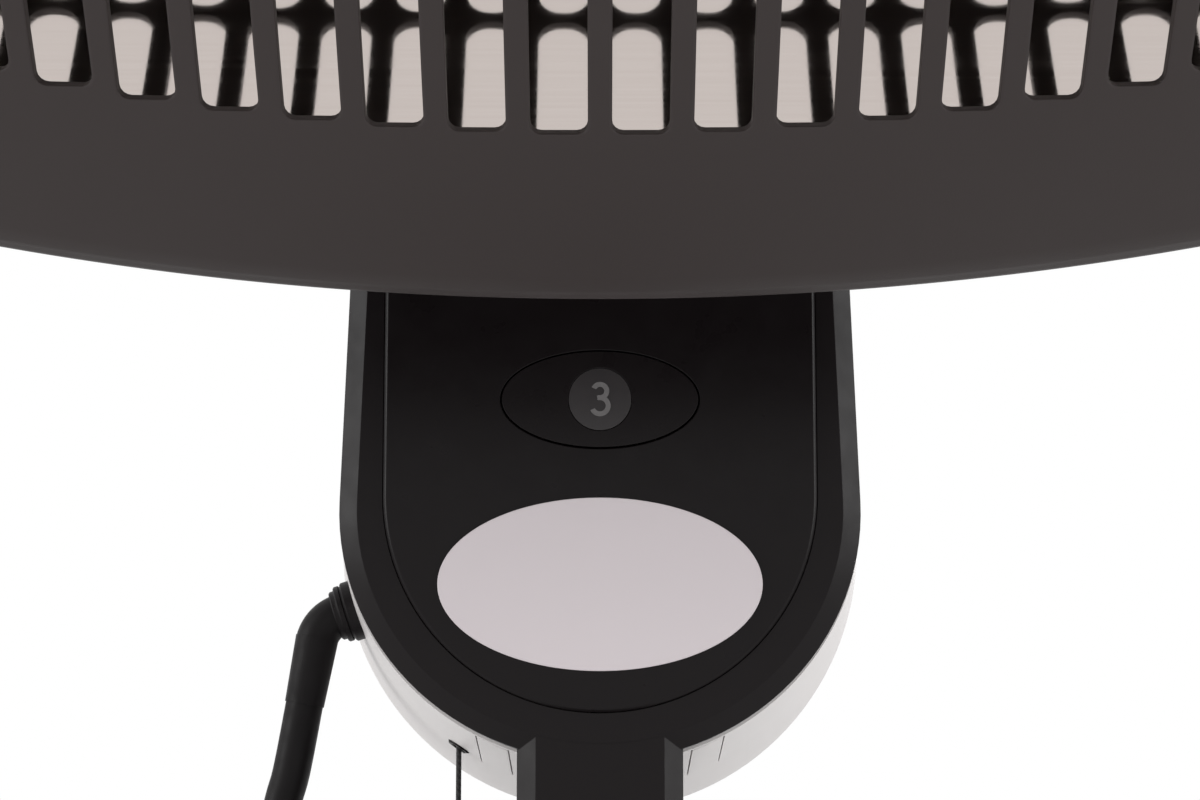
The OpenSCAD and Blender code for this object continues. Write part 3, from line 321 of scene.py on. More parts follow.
def turned(name, profile, steps):
    """A solid of revolution about z: the profile of (radius, z) points is spun round."""
    edges = [(i, i + 1) for i in range(len(profile) - 1)]
    obj = new_mesh(name, [(r, 0, z) for r, z in profile], [], edges)
    with editing(obj):
        bpy.ops.mesh.spin(steps=steps, angle=math.tau, center=(0, 0, 0), axis=(0, 0, 1))
        bpy.ops.mesh.select_all(action="SELECT")
        bpy.ops.mesh.remove_doubles(threshold=MERGE)
        bpy.ops.mesh.normals_make_consistent(inside=False)
    return obj


# Materials: every one is a node tree on object coordinates

class Shader:
    """A new material with short calls for the nodes that the finishes share."""

    def __init__(self, name, color, roughness, metallic=0.0):
        self.material = bpy.data.materials.new(name)
        self.material.use_nodes = True
        self.tree = self.material.node_tree
        self.surface = self.tree.nodes["Principled BSDF"]
        self.surface.inputs["Base Color"].default_value = (*color, 1)
        self.surface.inputs["Roughness"].default_value = roughness
        self.surface.inputs["Metallic"].default_value = metallic
        self.place = self.add("ShaderNodeTexCoord").outputs["Object"]

    def add(self, kind, **values):
        node = self.tree.nodes.new(kind)
        for key, value in values.items():
            setattr(node, key, value)
        return node

    def link(self, a, b):
        self.tree.links.new(a, b)

    def stretched(self, x, y, z):
        """The object's coordinates scaled along each axis."""
        node = self.add("ShaderNodeMapping")
        node.inputs["Scale"].default_value = (x, y, z)
        self.link(self.place, node.inputs["Vector"])
        return node.outputs["Vector"]

    def noise(self, scale, detail=4, rough=0.6, place=None):
        node = self.add("ShaderNodeTexNoise")
        node.inputs["Scale"].default_value = scale
        node.inputs["Detail"].default_value = detail
        node.inputs["Roughness"].default_value = rough
        self.link(place or self.place, node.inputs["Vector"])
        return node.outputs["Fac"]

    def ramp(self, value, low, high, a, b):
        """Maps a value between low and high to numbers between a and b."""
        node = self.add("ShaderNodeMapRange")
        node.inputs["From Min"].default_value = low
        node.inputs["From Max"].default_value = high
        node.inputs["To Min"].default_value = a
        node.inputs["To Max"].default_value = b
        self.link(value, node.inputs["Value"])
        return node.outputs["Result"]

    def tint(self, value, first, second):
        """Mixes two colours by a value and feeds the base colour."""
        node = self.add("ShaderNodeMix", data_type="RGBA")
        node.inputs[6].default_value = (*first, 1)
        node.inputs[7].default_value = (*second, 1)
        self.link(value, node.inputs[0])
        self.link(node.outputs[2], self.surface.inputs["Base Color"])

    def bump(self, value, strength, distance):
        """Raises and sinks the surface by a value, over a distance in metres."""
        node = self.add("ShaderNodeBump")
        node.inputs["Strength"].default_value = strength
        node.inputs["Distance"].default_value = distance
        self.link(value, node.inputs["Height"])
        self.link(node.outputs["Normal"], self.surface.inputs["Normal"])

    def rough(self, value, low, high):
        self.link(self.ramp(value, 0.3, 0.7, low, high), self.surface.inputs["Roughness"])


def shade(color, factor):
    """A lighter or darker version of a colour."""
    return tuple(min(1, c * factor) for c in color)


def layered(name, color, rough, tint, gloss=None, relief=None, metallic=0.0, specular=0.5):
    """A finish of up to three noises, for its tint, gloss and relief, each with its two ends."""
    s = Shader(name, color, rough, metallic)
    for use, layer in ((s.tint, tint), (s.rough, gloss), (s.bump, relief)):
        if layer:
            use(s.noise(*layer[0]), *layer[1:])
    s.surface.inputs["Specular IOR Level"].default_value = specular
    return s.material


def patches(color, scale, detail, spread):
    """The tint of patches that are darker and lighter than a colour by the spread."""
    return (scale, detail), shade(color, 1 - spread), shade(color, 1 + spread)


def painted(name, color, rough, grain):
    """Powder or stove paint: an orange-peel skin over metal."""
    return layered(
        name, color, rough, patches(color, 9, 3, 0.03), ((60, 3), rough - 0.02, rough + 0.02),
        ((grain, 2, 0.5), 0.35, 0.05 * MM), specular=0.3)


def moulded(name, color, rough, grain, relief):
    """Moulded plastic with a fine grain and slight flow marks."""
    return layered(
        name, color, rough, patches(color, 30, 4, 0.08), ((120, 3), rough - 0.04, rough + 0.06),
        ((grain, 2, 0.5), 0.3, relief), specular=0.15)


def metal(name, color, rough, lines):
    """Bare metal with fine drawn lines."""
    s = Shader(name, color, rough, 1.0)
    streaks = s.noise(1, 3, 0.6, s.stretched(*lines))
    s.tint(streaks, shade(color, 0.85), shade(color, 1.1))
    s.rough(streaks, rough - 0.06, rough + 0.1)
    s.bump(streaks, 0.2, 0.03 * MM)
    return s.material


# The dim rosy grey base colour and its tint, well below bare aluminium, are a painted reflection:
# they stand in for the warm grey room that the reflector mirrors
def polished_aluminium():
    s = Shader("polished_aluminium", (0.57, 0.51, 0.48), 0.05, 1.0)
    lines = s.noise(1, 4, 0.6, s.stretched(12, 1400, 1400))
    s.tint(lines, (0.54, 0.48, 0.45), (0.6, 0.54, 0.51))
    s.rough(lines, 0.03, 0.07)
    s.bump(s.noise(22, 2), 0.06, 0.2 * MM)
    return s.material


def quartz_glass():
    s = Shader("quartz_glass", (0.95, 0.94, 0.92), 0.25)
    s.surface.inputs["Transmission Weight"].default_value = 0.85
    s.surface.inputs["IOR"].default_value = 1.45
    s.rough(s.noise(200, 3), 0.18, 0.34)
    s.bump(s.noise(1, 3, 0.6, s.stretched(60, 900, 900)), 0.2, 0.05 * MM)
    return s.material


def lamp_wire():
    s = Shader("lamp_wire", (0.2, 0.17, 0.15), 0.45, 1.0)
    wave = s.add("ShaderNodeTexWave", bands_direction="X")
    wave.inputs["Scale"].default_value = 180
    s.link(s.place, wave.inputs["Vector"])
    s.tint(wave.outputs["Fac"], (0.06, 0.05, 0.045), (0.34, 0.3, 0.27))
    s.bump(wave.outputs["Fac"], 0.8, 0.4 * MM)
    return s.material


def zinc_steel():
    s = Shader("zinc_steel", (0.62, 0.62, 0.63), 0.34, 1.0)
    grains = s.add("ShaderNodeTexVoronoi")
    grains.inputs["Scale"].default_value = 240
    s.link(s.place, grains.inputs["Vector"])
    s.tint(grains.outputs["Color"], (0.5, 0.5, 0.51), (0.68, 0.68, 0.7))
    s.rough(s.noise(150, 3), 0.26, 0.45)
    return s.material


def board_green():
    s = Shader("board_green", (0.02, 0.12, 0.04), 0.3)
    lines = s.add("ShaderNodeTexBrick")
    lines.inputs["Scale"].default_value = 160
    lines.inputs["Color1"].default_value = (0.015, 0.1, 0.035, 1)
    lines.inputs["Color2"].default_value = (0.02, 0.13, 0.045, 1)
    lines.inputs["Mortar"].default_value = (0.04, 0.2, 0.07, 1)
    s.link(s.place, lines.inputs["Vector"])
    s.link(lines.outputs["Color"], s.surface.inputs["Base Color"])
    return s.material


def black_cord():
    s = Shader("black_cord", srgb(24, 23, 23), 0.75)
    wave = s.add("ShaderNodeTexWave", bands_direction="DIAGONAL")
    wave.inputs["Scale"].default_value = 420
    wave.inputs["Distortion"].default_value = 1.5
    s.link(s.place, wave.inputs["Vector"])
    s.tint(wave.outputs["Fac"], srgb(16, 15, 15), srgb(40, 38, 38))
    s.bump(wave.outputs["Fac"], 0.7, 0.2 * MM)
    s.surface.inputs["Sheen Weight"].default_value = 0.3
    return s.material


FINISHES = {
    f.__name__: f
    for f in (polished_aluminium, quartz_glass, lamp_wire, zinc_steel, board_green, black_cord)
}


def common_finish(slot):
    """A finish by one of the recipes above, with its own colours and numbers."""
    colors = settings("finish")
    guard, cover, label, silver, lead = (
        colors.guard, colors.cover, colors.label, colors.silver, colors.lead)
    recipe, *values = {
        "guard_paint": (painted, guard, 0.5, 2600),
        "shell_paint": (painted, shade(guard, 0.85), 0.5, 2600),
        "frame_paint": (painted, colors.frame, 0.42, 2200),
        "dark_plastic": (moulded, srgb(20, 17, 18), 0.45, 1800, 0.06 * MM),
        "cover_plastic": (moulded, cover, 0.36, 2400, 0.03 * MM),
        "panel_plastic": (moulded, shade(cover, 0.9), 0.3, 2600, 0.02 * MM),
        "button_plastic": (moulded, shade(cover, 0.95), 0.28, 2600, 0.02 * MM),
        "ivory_plastic": (moulded, (0.8, 0.77, 0.66), 0.45, 1500, 0.05 * MM),
        "relay_blue": (moulded, (0.05, 0.12, 0.35), 0.3, 1500, 0.03 * MM),
        "black_rubber": (moulded, srgb(21, 20, 20), 0.7, 1600, 0.12 * MM),
        "nickel_brass": (metal, (0.74, 0.69, 0.55), 0.25, (60, 900, 900)),
        "chrome_ring": (metal, (0.8, 0.8, 0.81), 0.12, (50, 50, 900)),
        "ceramic": (
            layered, (0.83, 0.81, 0.75), 0.5, ((90, 5), (0.76, 0.73, 0.66), (0.87, 0.85, 0.8)),
            None, ((700, 3), 0.4, 0.05 * MM)),
        "cast_clamp": (
            layered, (0.2, 0.2, 0.21), 0.6, ((80, 6), (0.13, 0.13, 0.14), (0.26, 0.26, 0.27)),
            None, ((420, 5), 0.7, 0.3 * MM), 1.0),
        "cast_weight": (
            layered, (0.11, 0.11, 0.11), 0.75, ((60, 6), (0.06, 0.06, 0.06), (0.15, 0.145, 0.14)),
            None, ((300, 6), 0.9, 0.5 * MM)),
        "lens_plastic": (
            layered, srgb(44, 40, 41), 0.3, ((300, 3), srgb(40, 37, 38), srgb(48, 44, 45)),
            None, ((1500, 2), 0.2, 0.02 * MM)),
        "digit_grey": (
            layered, srgb(104, 101, 101), 0.5, ((900, 3), srgb(96, 94, 94), srgb(112, 109, 109))),
        "label_white": (
            layered, label, 0.38, ((14, 4), shade(label, 0.97), shade(label, 1.02)),
            ((90, 3), 0.32, 0.45), ((160, 2), 0.1, 0.05 * MM)),
        "silver_plastic": (
            layered, silver, 0.45, patches(silver, 45, 3, 0.02), ((70, 3), 0.42, 0.48),
            ((900, 2), 0.08, 0.02 * MM), 0.2),
        "lead_rubber": (
            layered, lead, 0.5, patches(lead, 40, 4, 0.1), ((200, 3), 0.42, 0.58),
            ((1900, 3), 0.35, 0.06 * MM), 0.0, 0.15),
    }[slot]
    return recipe(slot, *values)


made = {}


def finish(slot):
    """The slot's material, made once."""
    if slot not in made:
        made[slot] = FINISHES[slot]() if slot in FINISHES else common_finish(slot)
    return made[slot]


class HEATER_OT_finishes(bpy.types.Operator):
    """Give every construction piece its procedural finish."""

    bl_idname = "heater.finishes"
    bl_label = "Finishes"

    def execute(self, context):
        for name, obj in frame["nodes"].items():
            obj.data.materials.clear()
            obj.data.materials.append(finish(SLOTS[name]))
        return {"FINISHED"}


# Share of plain white in the floor near the object, and how far off it turns wholly white;
# the world's strength as a light and the lamps' beam
FLOOR_WHITE = 0.75
FLOOR_NEAR = 1.5
FLOOR_FAR = 4.5
WORLD_LIGHT = 0.7
LAMP_SPREAD = math.radians(80)


class HEATER_OT_studio(bpy.types.Operator):
    """Set up the camera, a pale floor and soft light."""

    bl_idname = "heater.studio"
    bl_label = "Studio"

    def execute(self, context):
        self.camera(context)
        self.floor()
        self.world(context)
        self.lights()
        context.scene.view_settings.view_transform = "Standard"
        return {"FINISHED"}

    def camera(self, context):
        """The photograph's view: level with the head's lower edge, looking a little up."""
        distance = 586 * MM
        below_box = 65.06 * MM
        pitch = math.radians(9)
        bpy.ops.object.camera_add(
            location=(0, STAND_Y - distance, BOX_Z - below_box),
            rotation=(math.pi / 2 + pitch, 0, 0))
        cam = context.object
        cam.data.lens = 80
        cam.data.sensor_width = 36
        cam.data.clip_start = 0.01
        context.scene.camera = cam

    def floor(self):
        bpy.ops.mesh.primitive_plane_add(size=80, location=(0, 0, 0))
        floor = bpy.context.object
        floor.name = "floor"
        bake_place(floor)
        s = Shader("floor", (0.8, 0.8, 0.8), 0.6)
        s.tint(s.noise(3, 3), (0.79, 0.79, 0.79), (0.82, 0.82, 0.82))
        mix, glow = s.add("ShaderNodeMixShader"), s.add("ShaderNodeEmission")
        away = s.add("ShaderNodeVectorMath", operation="LENGTH")
        s.link(s.place, away.inputs[0])
        white = s.ramp(away.outputs["Value"], FLOOR_NEAR, FLOOR_FAR, FLOOR_WHITE, 1.0)
        seen = s.add("ShaderNodeMath", operation="MULTIPLY")
        s.link(self.looked_at(s.tree, 0.0), seen.inputs[0])
        s.link(white, seen.inputs[1])
        s.link(seen.outputs["Value"], mix.inputs["Fac"])
        s.link(s.surface.outputs["BSDF"], mix.inputs[1])
        s.link(glow.outputs["Emission"], mix.inputs[2])
        s.link(mix.outputs["Shader"], s.tree.nodes["Material Output"].inputs["Surface"])
        floor.data.materials.append(s.material)

    def world(self, context):
        """White wherever the camera, a reflection or glass looks; softer as a light."""
        world = bpy.data.worlds.new("studio")
        context.scene.world = world
        world.use_nodes = True
        back = world.node_tree.nodes["Background"]
        back.inputs["Color"].default_value = (1, 1, 1, 1)
        world.node_tree.links.new(
            self.looked_at(world.node_tree, WORLD_LIGHT), back.inputs["Strength"])

    def looked_at(self, tree, otherwise):
        """1 where the camera, a reflection or glass looks, and another number for other rays."""
        path = tree.nodes.new("ShaderNodeLightPath")
        found = path.outputs["Is Camera Ray"]
        for ray in ("Is Glossy Ray", "Is Transmission Ray"):
            either = tree.nodes.new("ShaderNodeMath")
            either.operation = "MAXIMUM"
            tree.links.new(found, either.inputs[0])
            tree.links.new(path.outputs[ray], either.inputs[1])
            found = either.outputs[0]
        reach = tree.nodes.new("ShaderNodeMapRange")
        reach.inputs["To Min"].default_value = otherwise
        reach.inputs["To Max"].default_value = 1.0
        tree.links.new(found, reach.inputs["Value"])
        return reach.outputs["Result"]

    def lights(self):
        """Broad lamps on both sides, a weaker one above the camera and one behind."""
        aim = Vector((0, 0, BOX_Z + 0.05))
        for name, place, size, power in (
            ("left", (-6, -2, BOX_Z + 1.2), 3.2, 36),
            ("right", (6, -1.7, BOX_Z + 1.2), 3.2, 30),
            ("top", (0.6, -3.6, BOX_Z + 4.5), 3.6, 9),
            ("rear", (1.5, 4.5, BOX_Z + 2.1), 3.6, 23),
        ):
            bpy.ops.object.light_add(type="AREA", location=place)
            lamp = bpy.context.object
            lamp.name = name
            lamp.data.size = size
            lamp.data.energy = power
            lamp.data.spread = LAMP_SPREAD
            lamp.rotation_euler = (aim - Vector(place)).to_track_quat("-Z", "Y").to_euler()


# The lead's route, in metres from the pole's foot, as the construction lays it
GLAND_A = math.radians(18)
GLAND_Y = 14 * MM
GLAND_REACH = 58.09375 * MM


def catmull(p, steps):
    """A smooth line through the points, with the given number of steps between two."""
    out = []
    for i in range(len(p) - 1):
        a, b, c, d = p[max(0, i - 1)], p[i], p[i + 1], p[min(len(p) - 1, i + 2)]
        for s in range(steps):
            u = s / steps
            out.append(0.5 * (2 * b + (c - a) * u + (2 * a - 5 * b + 4 * c - d) * u * u
                              + (3 * b - a - 3 * c + d) * u ** 3))
    return out + [p[-1]]


class Coil:
    """The coil behind the base: turns spiral in, climb a layer and spiral out again."""

    centre = Vector((-190, 190, 0)) * MM
    start = math.radians(223)
    low, rise_turns, top = 2, 0.5, 1.9
    turns = low + rise_turns + top
    turn_gap, layer_gap, floor_gap = 1.8 * MM, 0.7 * MM, 1.2 * MM

    def __init__(self, radius, diameter):
        self.pitch = diameter + self.turn_gap
        self.rise = diameter + self.layer_gap
        self.z = self.floor_gap + diameter / 2
        self.out = radius + self.pitch
        self.inner = self.out - self.low * self.pitch

    def point(self, t):
        a = self.start - math.tau * t
        r = self.out - self.pitch * t if t < self.low else (
            self.inner + self.pitch * max(0, t - self.low - self.rise_turns))
        u = min(1, max(0, (t - self.low) / self.rise_turns))
        z = self.z + self.rise * u * u * (3 - 2 * u)
        return self.centre + Vector((r * math.cos(a), r * math.sin(a), z))

    def direction(self, t):
        a = self.start - math.tau * t
        return Vector((math.sin(a), -math.cos(a), 0))


# The listed points between the strain relief and the coil, in millimetres
ROUTE_POINTS = (
    (-72, 14.8, 632), (-80, 18, 580), (-89, 24, 500), (-96, 30, 420), (-103, 36, 340),
    (-111, 43, 260), (-120, 51, 188), (-131, 61, 128), (-144, 73, 84), (-158, 86, 52),
    (-174, 101, 28), (-190, 117, 13), (-206, 133, 6.5),
)
RELIEF_R = 8 * MM
RELIEF_TURN = math.radians(62)
RELIEF_TAIL = 14 * MM
RELIEF_START = 3.2 * MM
RELIEF_LEAD = 15 * MM
PLUG_Z = 17.7 * MM
PLUG_RUN = 48 * MM
PLUG_EASE = 12 * MM
RUN_IN = 8 * MM
ROUTE_STEPS, TURN_STEPS, PLUG_STEPS = 6, 48, 4


def gland_place():
    """The face of the gland's seat and the directions out of it and up along it."""
    out = Vector((-math.cos(GLAND_A), 0, -math.sin(GLAND_A)))
    up = Vector((-math.sin(GLAND_A), 0, math.cos(GLAND_A)))
    return Vector((0, GLAND_Y, BOX_Z)) + out * GLAND_REACH, out, up


def lead_line():
    """The whole centre line of the lead, from the strain relief to the plug, and its start."""
    s = settings("lead")
    seat, out, up = gland_place()
    turn_cos, turn_sin = math.cos(RELIEF_TURN), math.sin(RELIEF_TURN)
    start = (seat + out * (RELIEF_START + RELIEF_R * turn_sin + RELIEF_TAIL * turn_cos)
             - up * (RELIEF_R * (1 - turn_cos) + RELIEF_TAIL * turn_sin))
    way = out * turn_cos - up * turn_sin
    coil = Coil(s.coil_radius, s.diameter)
    entry = coil.point(0) - RUN_IN * coil.direction(0)
    route = [start, start + RELIEF_LEAD * way] + [Vector(p) * MM for p in ROUTE_POINTS] + [entry]
    line = catmull(route, ROUTE_STEPS)
    line += [coil.point(i / TURN_STEPS) for i in range(int(coil.turns * TURN_STEPS))]
    tail = coil.point(coil.turns)
    plug_way = coil.direction(coil.turns)
    plug_at = Vector((tail.x, tail.y, PLUG_Z)) + PLUG_RUN * plug_way
    ease, climb = PLUG_EASE * plug_way, Vector((0, 0, (PLUG_Z - tail.z) / 2))
    line += catmull(
        [tail, tail + ease, tail + 2 * ease + climb, plug_at - ease, plug_at], PLUG_STEPS)
    stand = Vector((0, STAND_Y, 0))
    return [p + stand for p in line], start + stand


class HEATER_OT_lead(bpy.types.Operator):
    """Lay the mains lead in its coil, with its strain relief and plug."""

    bl_idname = "heater.lead"
    bl_label = "Mains lead"

    def execute(self, context):
        s = settings("lead")
        line, start = lead_line()
        lead = tube("mains_lead", line, s.diameter)
        finish_piece(lead, "power_cable", "cable_coil")
        ends = dress_all(
            ("plug_body", "plug_grip", 0.8 * MM), ("plug_pins", "plug_contacts", 0.3 * MM),
            ("strain_relief", "lead_sleeve", 0.3 * MM), ("cable_tie", "coil_tie", 0.25 * MM),
        )
        return {"FINISHED"}


class HEATER_OT_pull(bpy.types.Operator):
    """Hang the pull cord."""

    bl_idname = "heater.pull"
    bl_label = "Pull cord"

    def execute(self, context):
        s = settings("lead")
        low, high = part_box("pull_cord")
        x, y = (low[0] + high[0]) / 2, (low[1] + high[1]) / 2
        steps = 24
        line = [Vector((x, y, high[2] + (low[2] - high[2]) * i / steps)) for i in range(steps + 1)]
        cord = tube("pull_line", line, s.pull_diameter)
        finish_piece(cord, "pull_cord")
        dress("pull_knob", "bell_knob", 0.3 * MM)
        return {"FINISHED"}


# The guard's dome of two radii, the rib between its rows of slots, the slots' ends and lips, its
# four screw bosses with their holes, and the rings of its plain band
DOME_V = 240 * MM
DOME_U = 1200 * MM
RIB_W = 2.5 * MM
RIB_V = 32 * MM
SHARP_R = 2 * MM
SLOT_MIN = 12 * MM
BOSS_IN = 30 * MM
BOSS_V = 40 * MM
BOSS_R = 6 * MM
BOSS_FOOT = -29.2 * MM
BOSS_SEAT = 4 * MM
SHANK_R = 2.1 * MM
HEAD_R = 4 * MM
SLOT_STEP = 5 * MM
END_FLAT = 0.5 * MM
WIDE_CORNER = 3 * MM
LIP_RINGS = ((0.35, 0.06), (0.1, 0.35), (0.0, 1.0))
HOLE_DEPTH = 30 * MM
OVERCUT = 1 * MM
ZONE_MARGIN = 2 * MM
BAND_RINGS = (30 * MM, 25 * MM, 20 * MM, 15 * MM, 10 * MM, 6 * MM, 3 * MM)
SHOULDER = 3 * MM
ROUND_STEPS = 4


class Oval:
    """An oval of two long arcs and two round ends, with points and normals."""

    def __init__(self, a, b, arc):
        self.a, self.b, self.arc = a, b, arc
        self.end = (arc * arc - a * a - (arc - b) ** 2) / (2 * (arc - a))
        self.centre = a - self.end
        self.turn = math.atan2(self.centre, arc - b)

    def half(self, x):
        """Half the oval's height at a distance from its middle."""
        if x <= self.arc * math.sin(self.turn):
            return math.sqrt(self.arc ** 2 - x * x) - (self.arc - self.b)
        return math.sqrt(max(0, self.end ** 2 - (x - self.centre) ** 2))

    def outline(self, arc_steps, end_steps):
        """Points with outward normals, once round from the right end."""
        def at(x, y, radius, t):
            across, up = math.cos(t), math.sin(t)
            return Vector((x + radius * across, y + radius * up)), Vector((across, up))

        stop = math.pi / 2 - self.turn
        quarter = [at(self.centre, 0, self.end, stop * i / end_steps) for i in range(end_steps)]
        quarter += [at(0, self.b - self.arc, self.arc, stop + self.turn * i / arc_steps)
                    for i in range(arc_steps)]
        top = (Vector((0, self.b)), Vector((0, 1)))
        other = [(Vector((-p.x, p.y)), Vector((-n.x, n.y))) for p, n in quarter[:0:-1]]
        upper = quarter + [top] + other
        return upper + [(-p, -n) for p, n in upper]


def dome(x, v):
    """Depth of the guard's dome below its apex."""
    fall = DOME_V - math.sqrt(DOME_V ** 2 - v * v)
    return DOME_U - math.sqrt((DOME_U - fall) ** 2 - x * x)


def rounded_slot(x, v0, v1, width, r0, r1, grow):
    """A slot's outline, with its own corner radius at each end, widened all round by grow."""
    half = width / 2
    points = []
    for i, (cx, cv, r) in enumerate((
            (x - half + r0, v0 + r0, r0), (x + half - r0, v0 + r0, r0),
            (x + half - r1, v1 - r1, r1), (x - half + r1, v1 - r1, r1))):
        n = 6 if r > WIDE_CORNER else 4
        for k in range(n + 1):
            t = math.pi + (i + k / n) * math.pi / 2
            points.append((cx + (r + grow) * math.cos(t), cv + (r + grow) * math.sin(t)))
    out = []
    for a, b in zip(points, points[1:] + points[:1]):
        out.append(a)
        extra = max(0, round(abs(b[1] - a[1]) / SLOT_STEP) - 1)
        out += [(a[0] + (b[0] - a[0]) * k / (extra + 1), a[1] + (b[1] - a[1]) * k / (extra + 1))
                for k in range(1, extra + 1)]
    return out


def slot_outlines(s, grow):
    """All the slots' outlines, in the same order and with the same counts for any grow."""
    inner = Oval(s.half_width - s.band, s.half_height - s.band, s.edge_radius - s.band)
    last = math.floor((s.half_width - s.band - s.slot_width) / s.slot_pitch - 0.5)
    round_r = s.slot_width / 2 - END_FLAT
    found = []
    for i in range(last + 1):
        x = (i + 0.5) * s.slot_pitch
        reach = inner.half(x + s.slot_width / 2)
        spans = []
        if reach > RIB_V + SLOT_MIN:
            spans.append((RIB_V + RIB_W / 2, reach, round_r, SHARP_R))
        top = RIB_V - RIB_W / 2 if reach > RIB_V + SLOT_MIN else min(reach, RIB_V - RIB_W / 2)
        if top > SLOT_MIN:
            spans.append((RIB_W / 2, top, round_r, round_r))
        for v0, v1, r0, r1 in spans:
            one = rounded_slot(x, v0, v1, s.slot_width, r0, r1, grow)
            for sx in (1, -1):
                for sv in (1, -1):
                    found.append([(sx * px, sv * pv) for px, pv in one])
    return found


class HEATER_OT_guard(bpy.types.Operator):
    """Build the domed front guard with its slots, rounded lips and rolled rim."""

    bl_idname = "heater.guard"
    bl_label = "Front guard"

    def execute(self, context):
        s = settings("guard")
        outline = Oval(s.half_width, s.half_height, s.edge_radius).outline(40, 18)
        zone = [p - n * (s.band - ZONE_MARGIN) for p, n in outline]
        loops = [[(p.x, p.y) for p in zone]] + slot_outlines(s, s.lip)
        flat, triangles = self.fill(loops)
        count = len(flat)
        narrow = flat[:len(zone)] + [p for loop in slot_outlines(s, 0) for p in loop]
        verts = [(x, v, -dome(x, v)) for x, v in flat]
        verts += [(x, v, -dome(x, v) - s.sheet) for x, v in narrow]
        faces = triangles + [tuple(i + count for i in reversed(t)) for t in triangles]
        self.walls(verts, faces, loops, s, count)
        self.rim(verts, faces, outline, s, count)
        guard = new_mesh("guard_grille", verts, faces)
        recalculate_normals(guard)
        self.bosses(guard, s)
        guard.matrix_world = TO_HEAD
        bake_place(guard)
        smooth(guard, 50)
        finish_piece(guard, "front_guard")
        return {"FINISHED"}

    def fill(self, loops):
        """Fills the zone between the outer loop and the slots; points keep the loops' order."""
        points = [p for loop in loops for p in loop]
        edges, start = [], 0
        for loop in loops:
            n = len(loop)
            edges += [(start + i, start + (i + 1) % n) for i in range(n)]
            start += n
        sheet = new_mesh("sheet", [(x, v, 0) for x, v in points], [], edges)
        with editing(sheet):
            bpy.ops.mesh.fill(use_beauty=True)
        flat = [(v.co.x, v.co.y) for v in sheet.data.vertices]
        faces = [tuple(p.vertices) for p in sheet.data.polygons]
        discard(sheet)
        return flat, faces

    def walls(self, verts, faces, loops, s, count):
        """Rounded lips and straight walls from each slot's wide front to its narrow back."""
        rings = [(slot_outlines(s, s.lip * out), s.lip * drop) for out, drop in LIP_RINGS]
        start = len(loops[0])
        for k, wide in enumerate(loops[1:]):
            n = len(wide)
            previous = list(range(start, start + n))
            for ring, drop in rings:
                previous = self.add_ring(
                    verts, faces, previous, [(x, v, -dome(x, v) - drop) for x, v in ring[k]])
            faces += self.strip(previous, [count + i for i in range(start, start + n)])
            start += n

    def rim(self, verts, faces, outline, s, count):
        """The plain band, its rounded shoulder, the side wall, its rolled edge and the way back."""
        n = len(outline)
        roll = s.sheet / 2
        band = [[p - m * d for p, m in outline] for d in BAND_RINGS]
        edge = [-dome(p.x, p.y) for p, m in outline]
        rings = [[(q, -dome(q.x, q.y)) for q in ring] for ring in band]
        for i in range(1, ROUND_STEPS + 1):
            t = math.pi / 2 * i / ROUND_STEPS
            rings.append([(p - m * SHOULDER * (1 - math.sin(t)), e - SHOULDER * (1 - math.cos(t)))
                          for (p, m), e in zip(outline, edge)])
        for f in (0.5, 1):
            rings.append([(p, e - SHOULDER + (-s.depth + roll - e + SHOULDER) * f)
                          for (p, m), e in zip(outline, edge)])
        for i in range(1, ROUND_STEPS + 1):
            t = math.pi * i / ROUND_STEPS
            rings.append([(p - m * roll * (1 - math.cos(t)), -s.depth + roll - roll * math.sin(t))
                          for p, m in outline])
        rings += [[(q, -dome(q.x, q.y) - s.sheet) for q in ring] for ring in reversed(band)]
        previous = list(range(n))
        for ring in rings:
            previous = self.add_ring(verts, faces, previous, [(q.x, q.y, z) for q, z in ring])
        faces += self.strip(previous, [count + i for i in range(n)])

    def bosses(self, guard, s):
        """Adds the four screw bosses behind the skin and opens their holes."""
        x, v = s.half_width - BOSS_IN, BOSS_V
        height = -dome(x, v) - s.sheet / 2 - BOSS_FOOT
        for sx in (1, -1):
            for sv in (1, -1):
                boss, *holes = (
                    self.pin((sx * x, sv * v), radius, low, depth)
                    for radius, low, depth in (
                        (BOSS_R, BOSS_FOOT, height), (SHANK_R, BOSS_FOOT - OVERCUT, HOLE_DEPTH),
                        (HEAD_R, BOSS_FOOT + BOSS_SEAT, HOLE_DEPTH)))
                combine(guard, [boss], "UNION")
                combine(guard, holes, "DIFFERENCE")

    def pin(self, place, radius, low, depth):
        """A cylinder that stands on the given height."""
        bpy.ops.mesh.primitive_cylinder_add(
            vertices=48, radius=radius, depth=depth, location=(*place, low + depth / 2))
        bake_place(bpy.context.object)
        return bpy.context.object

    def add_ring(self, verts, faces, previous, points):
        """Adds a loop of points with the strip that joins it to the loop before it."""
        current = list(range(len(verts), len(verts) + len(points)))
        verts += points
        faces += self.strip(previous, current)
        return current

    def strip(self, a, b):
        """Quads between two loops of as many points."""
        n = len(a)
        return [(a[i], a[(i + 1) % n], b[(i + 1) % n], b[i]) for i in range(n)]


def islands(obj):
    """The points of each separate body of a mesh."""
    parent = list(range(len(obj.data.vertices)))

    def root(i):
        while parent[i] != i:
            parent[i] = parent[parent[i]]
            i = parent[i]
        return i

    for edge in obj.data.edges:
        a, b = (root(i) for i in edge.vertices)
        parent[a] = b
    found = {}
    for v in obj.data.vertices:
        found.setdefault(root(v.index), []).append(v.co.copy())
    return list(found.values())


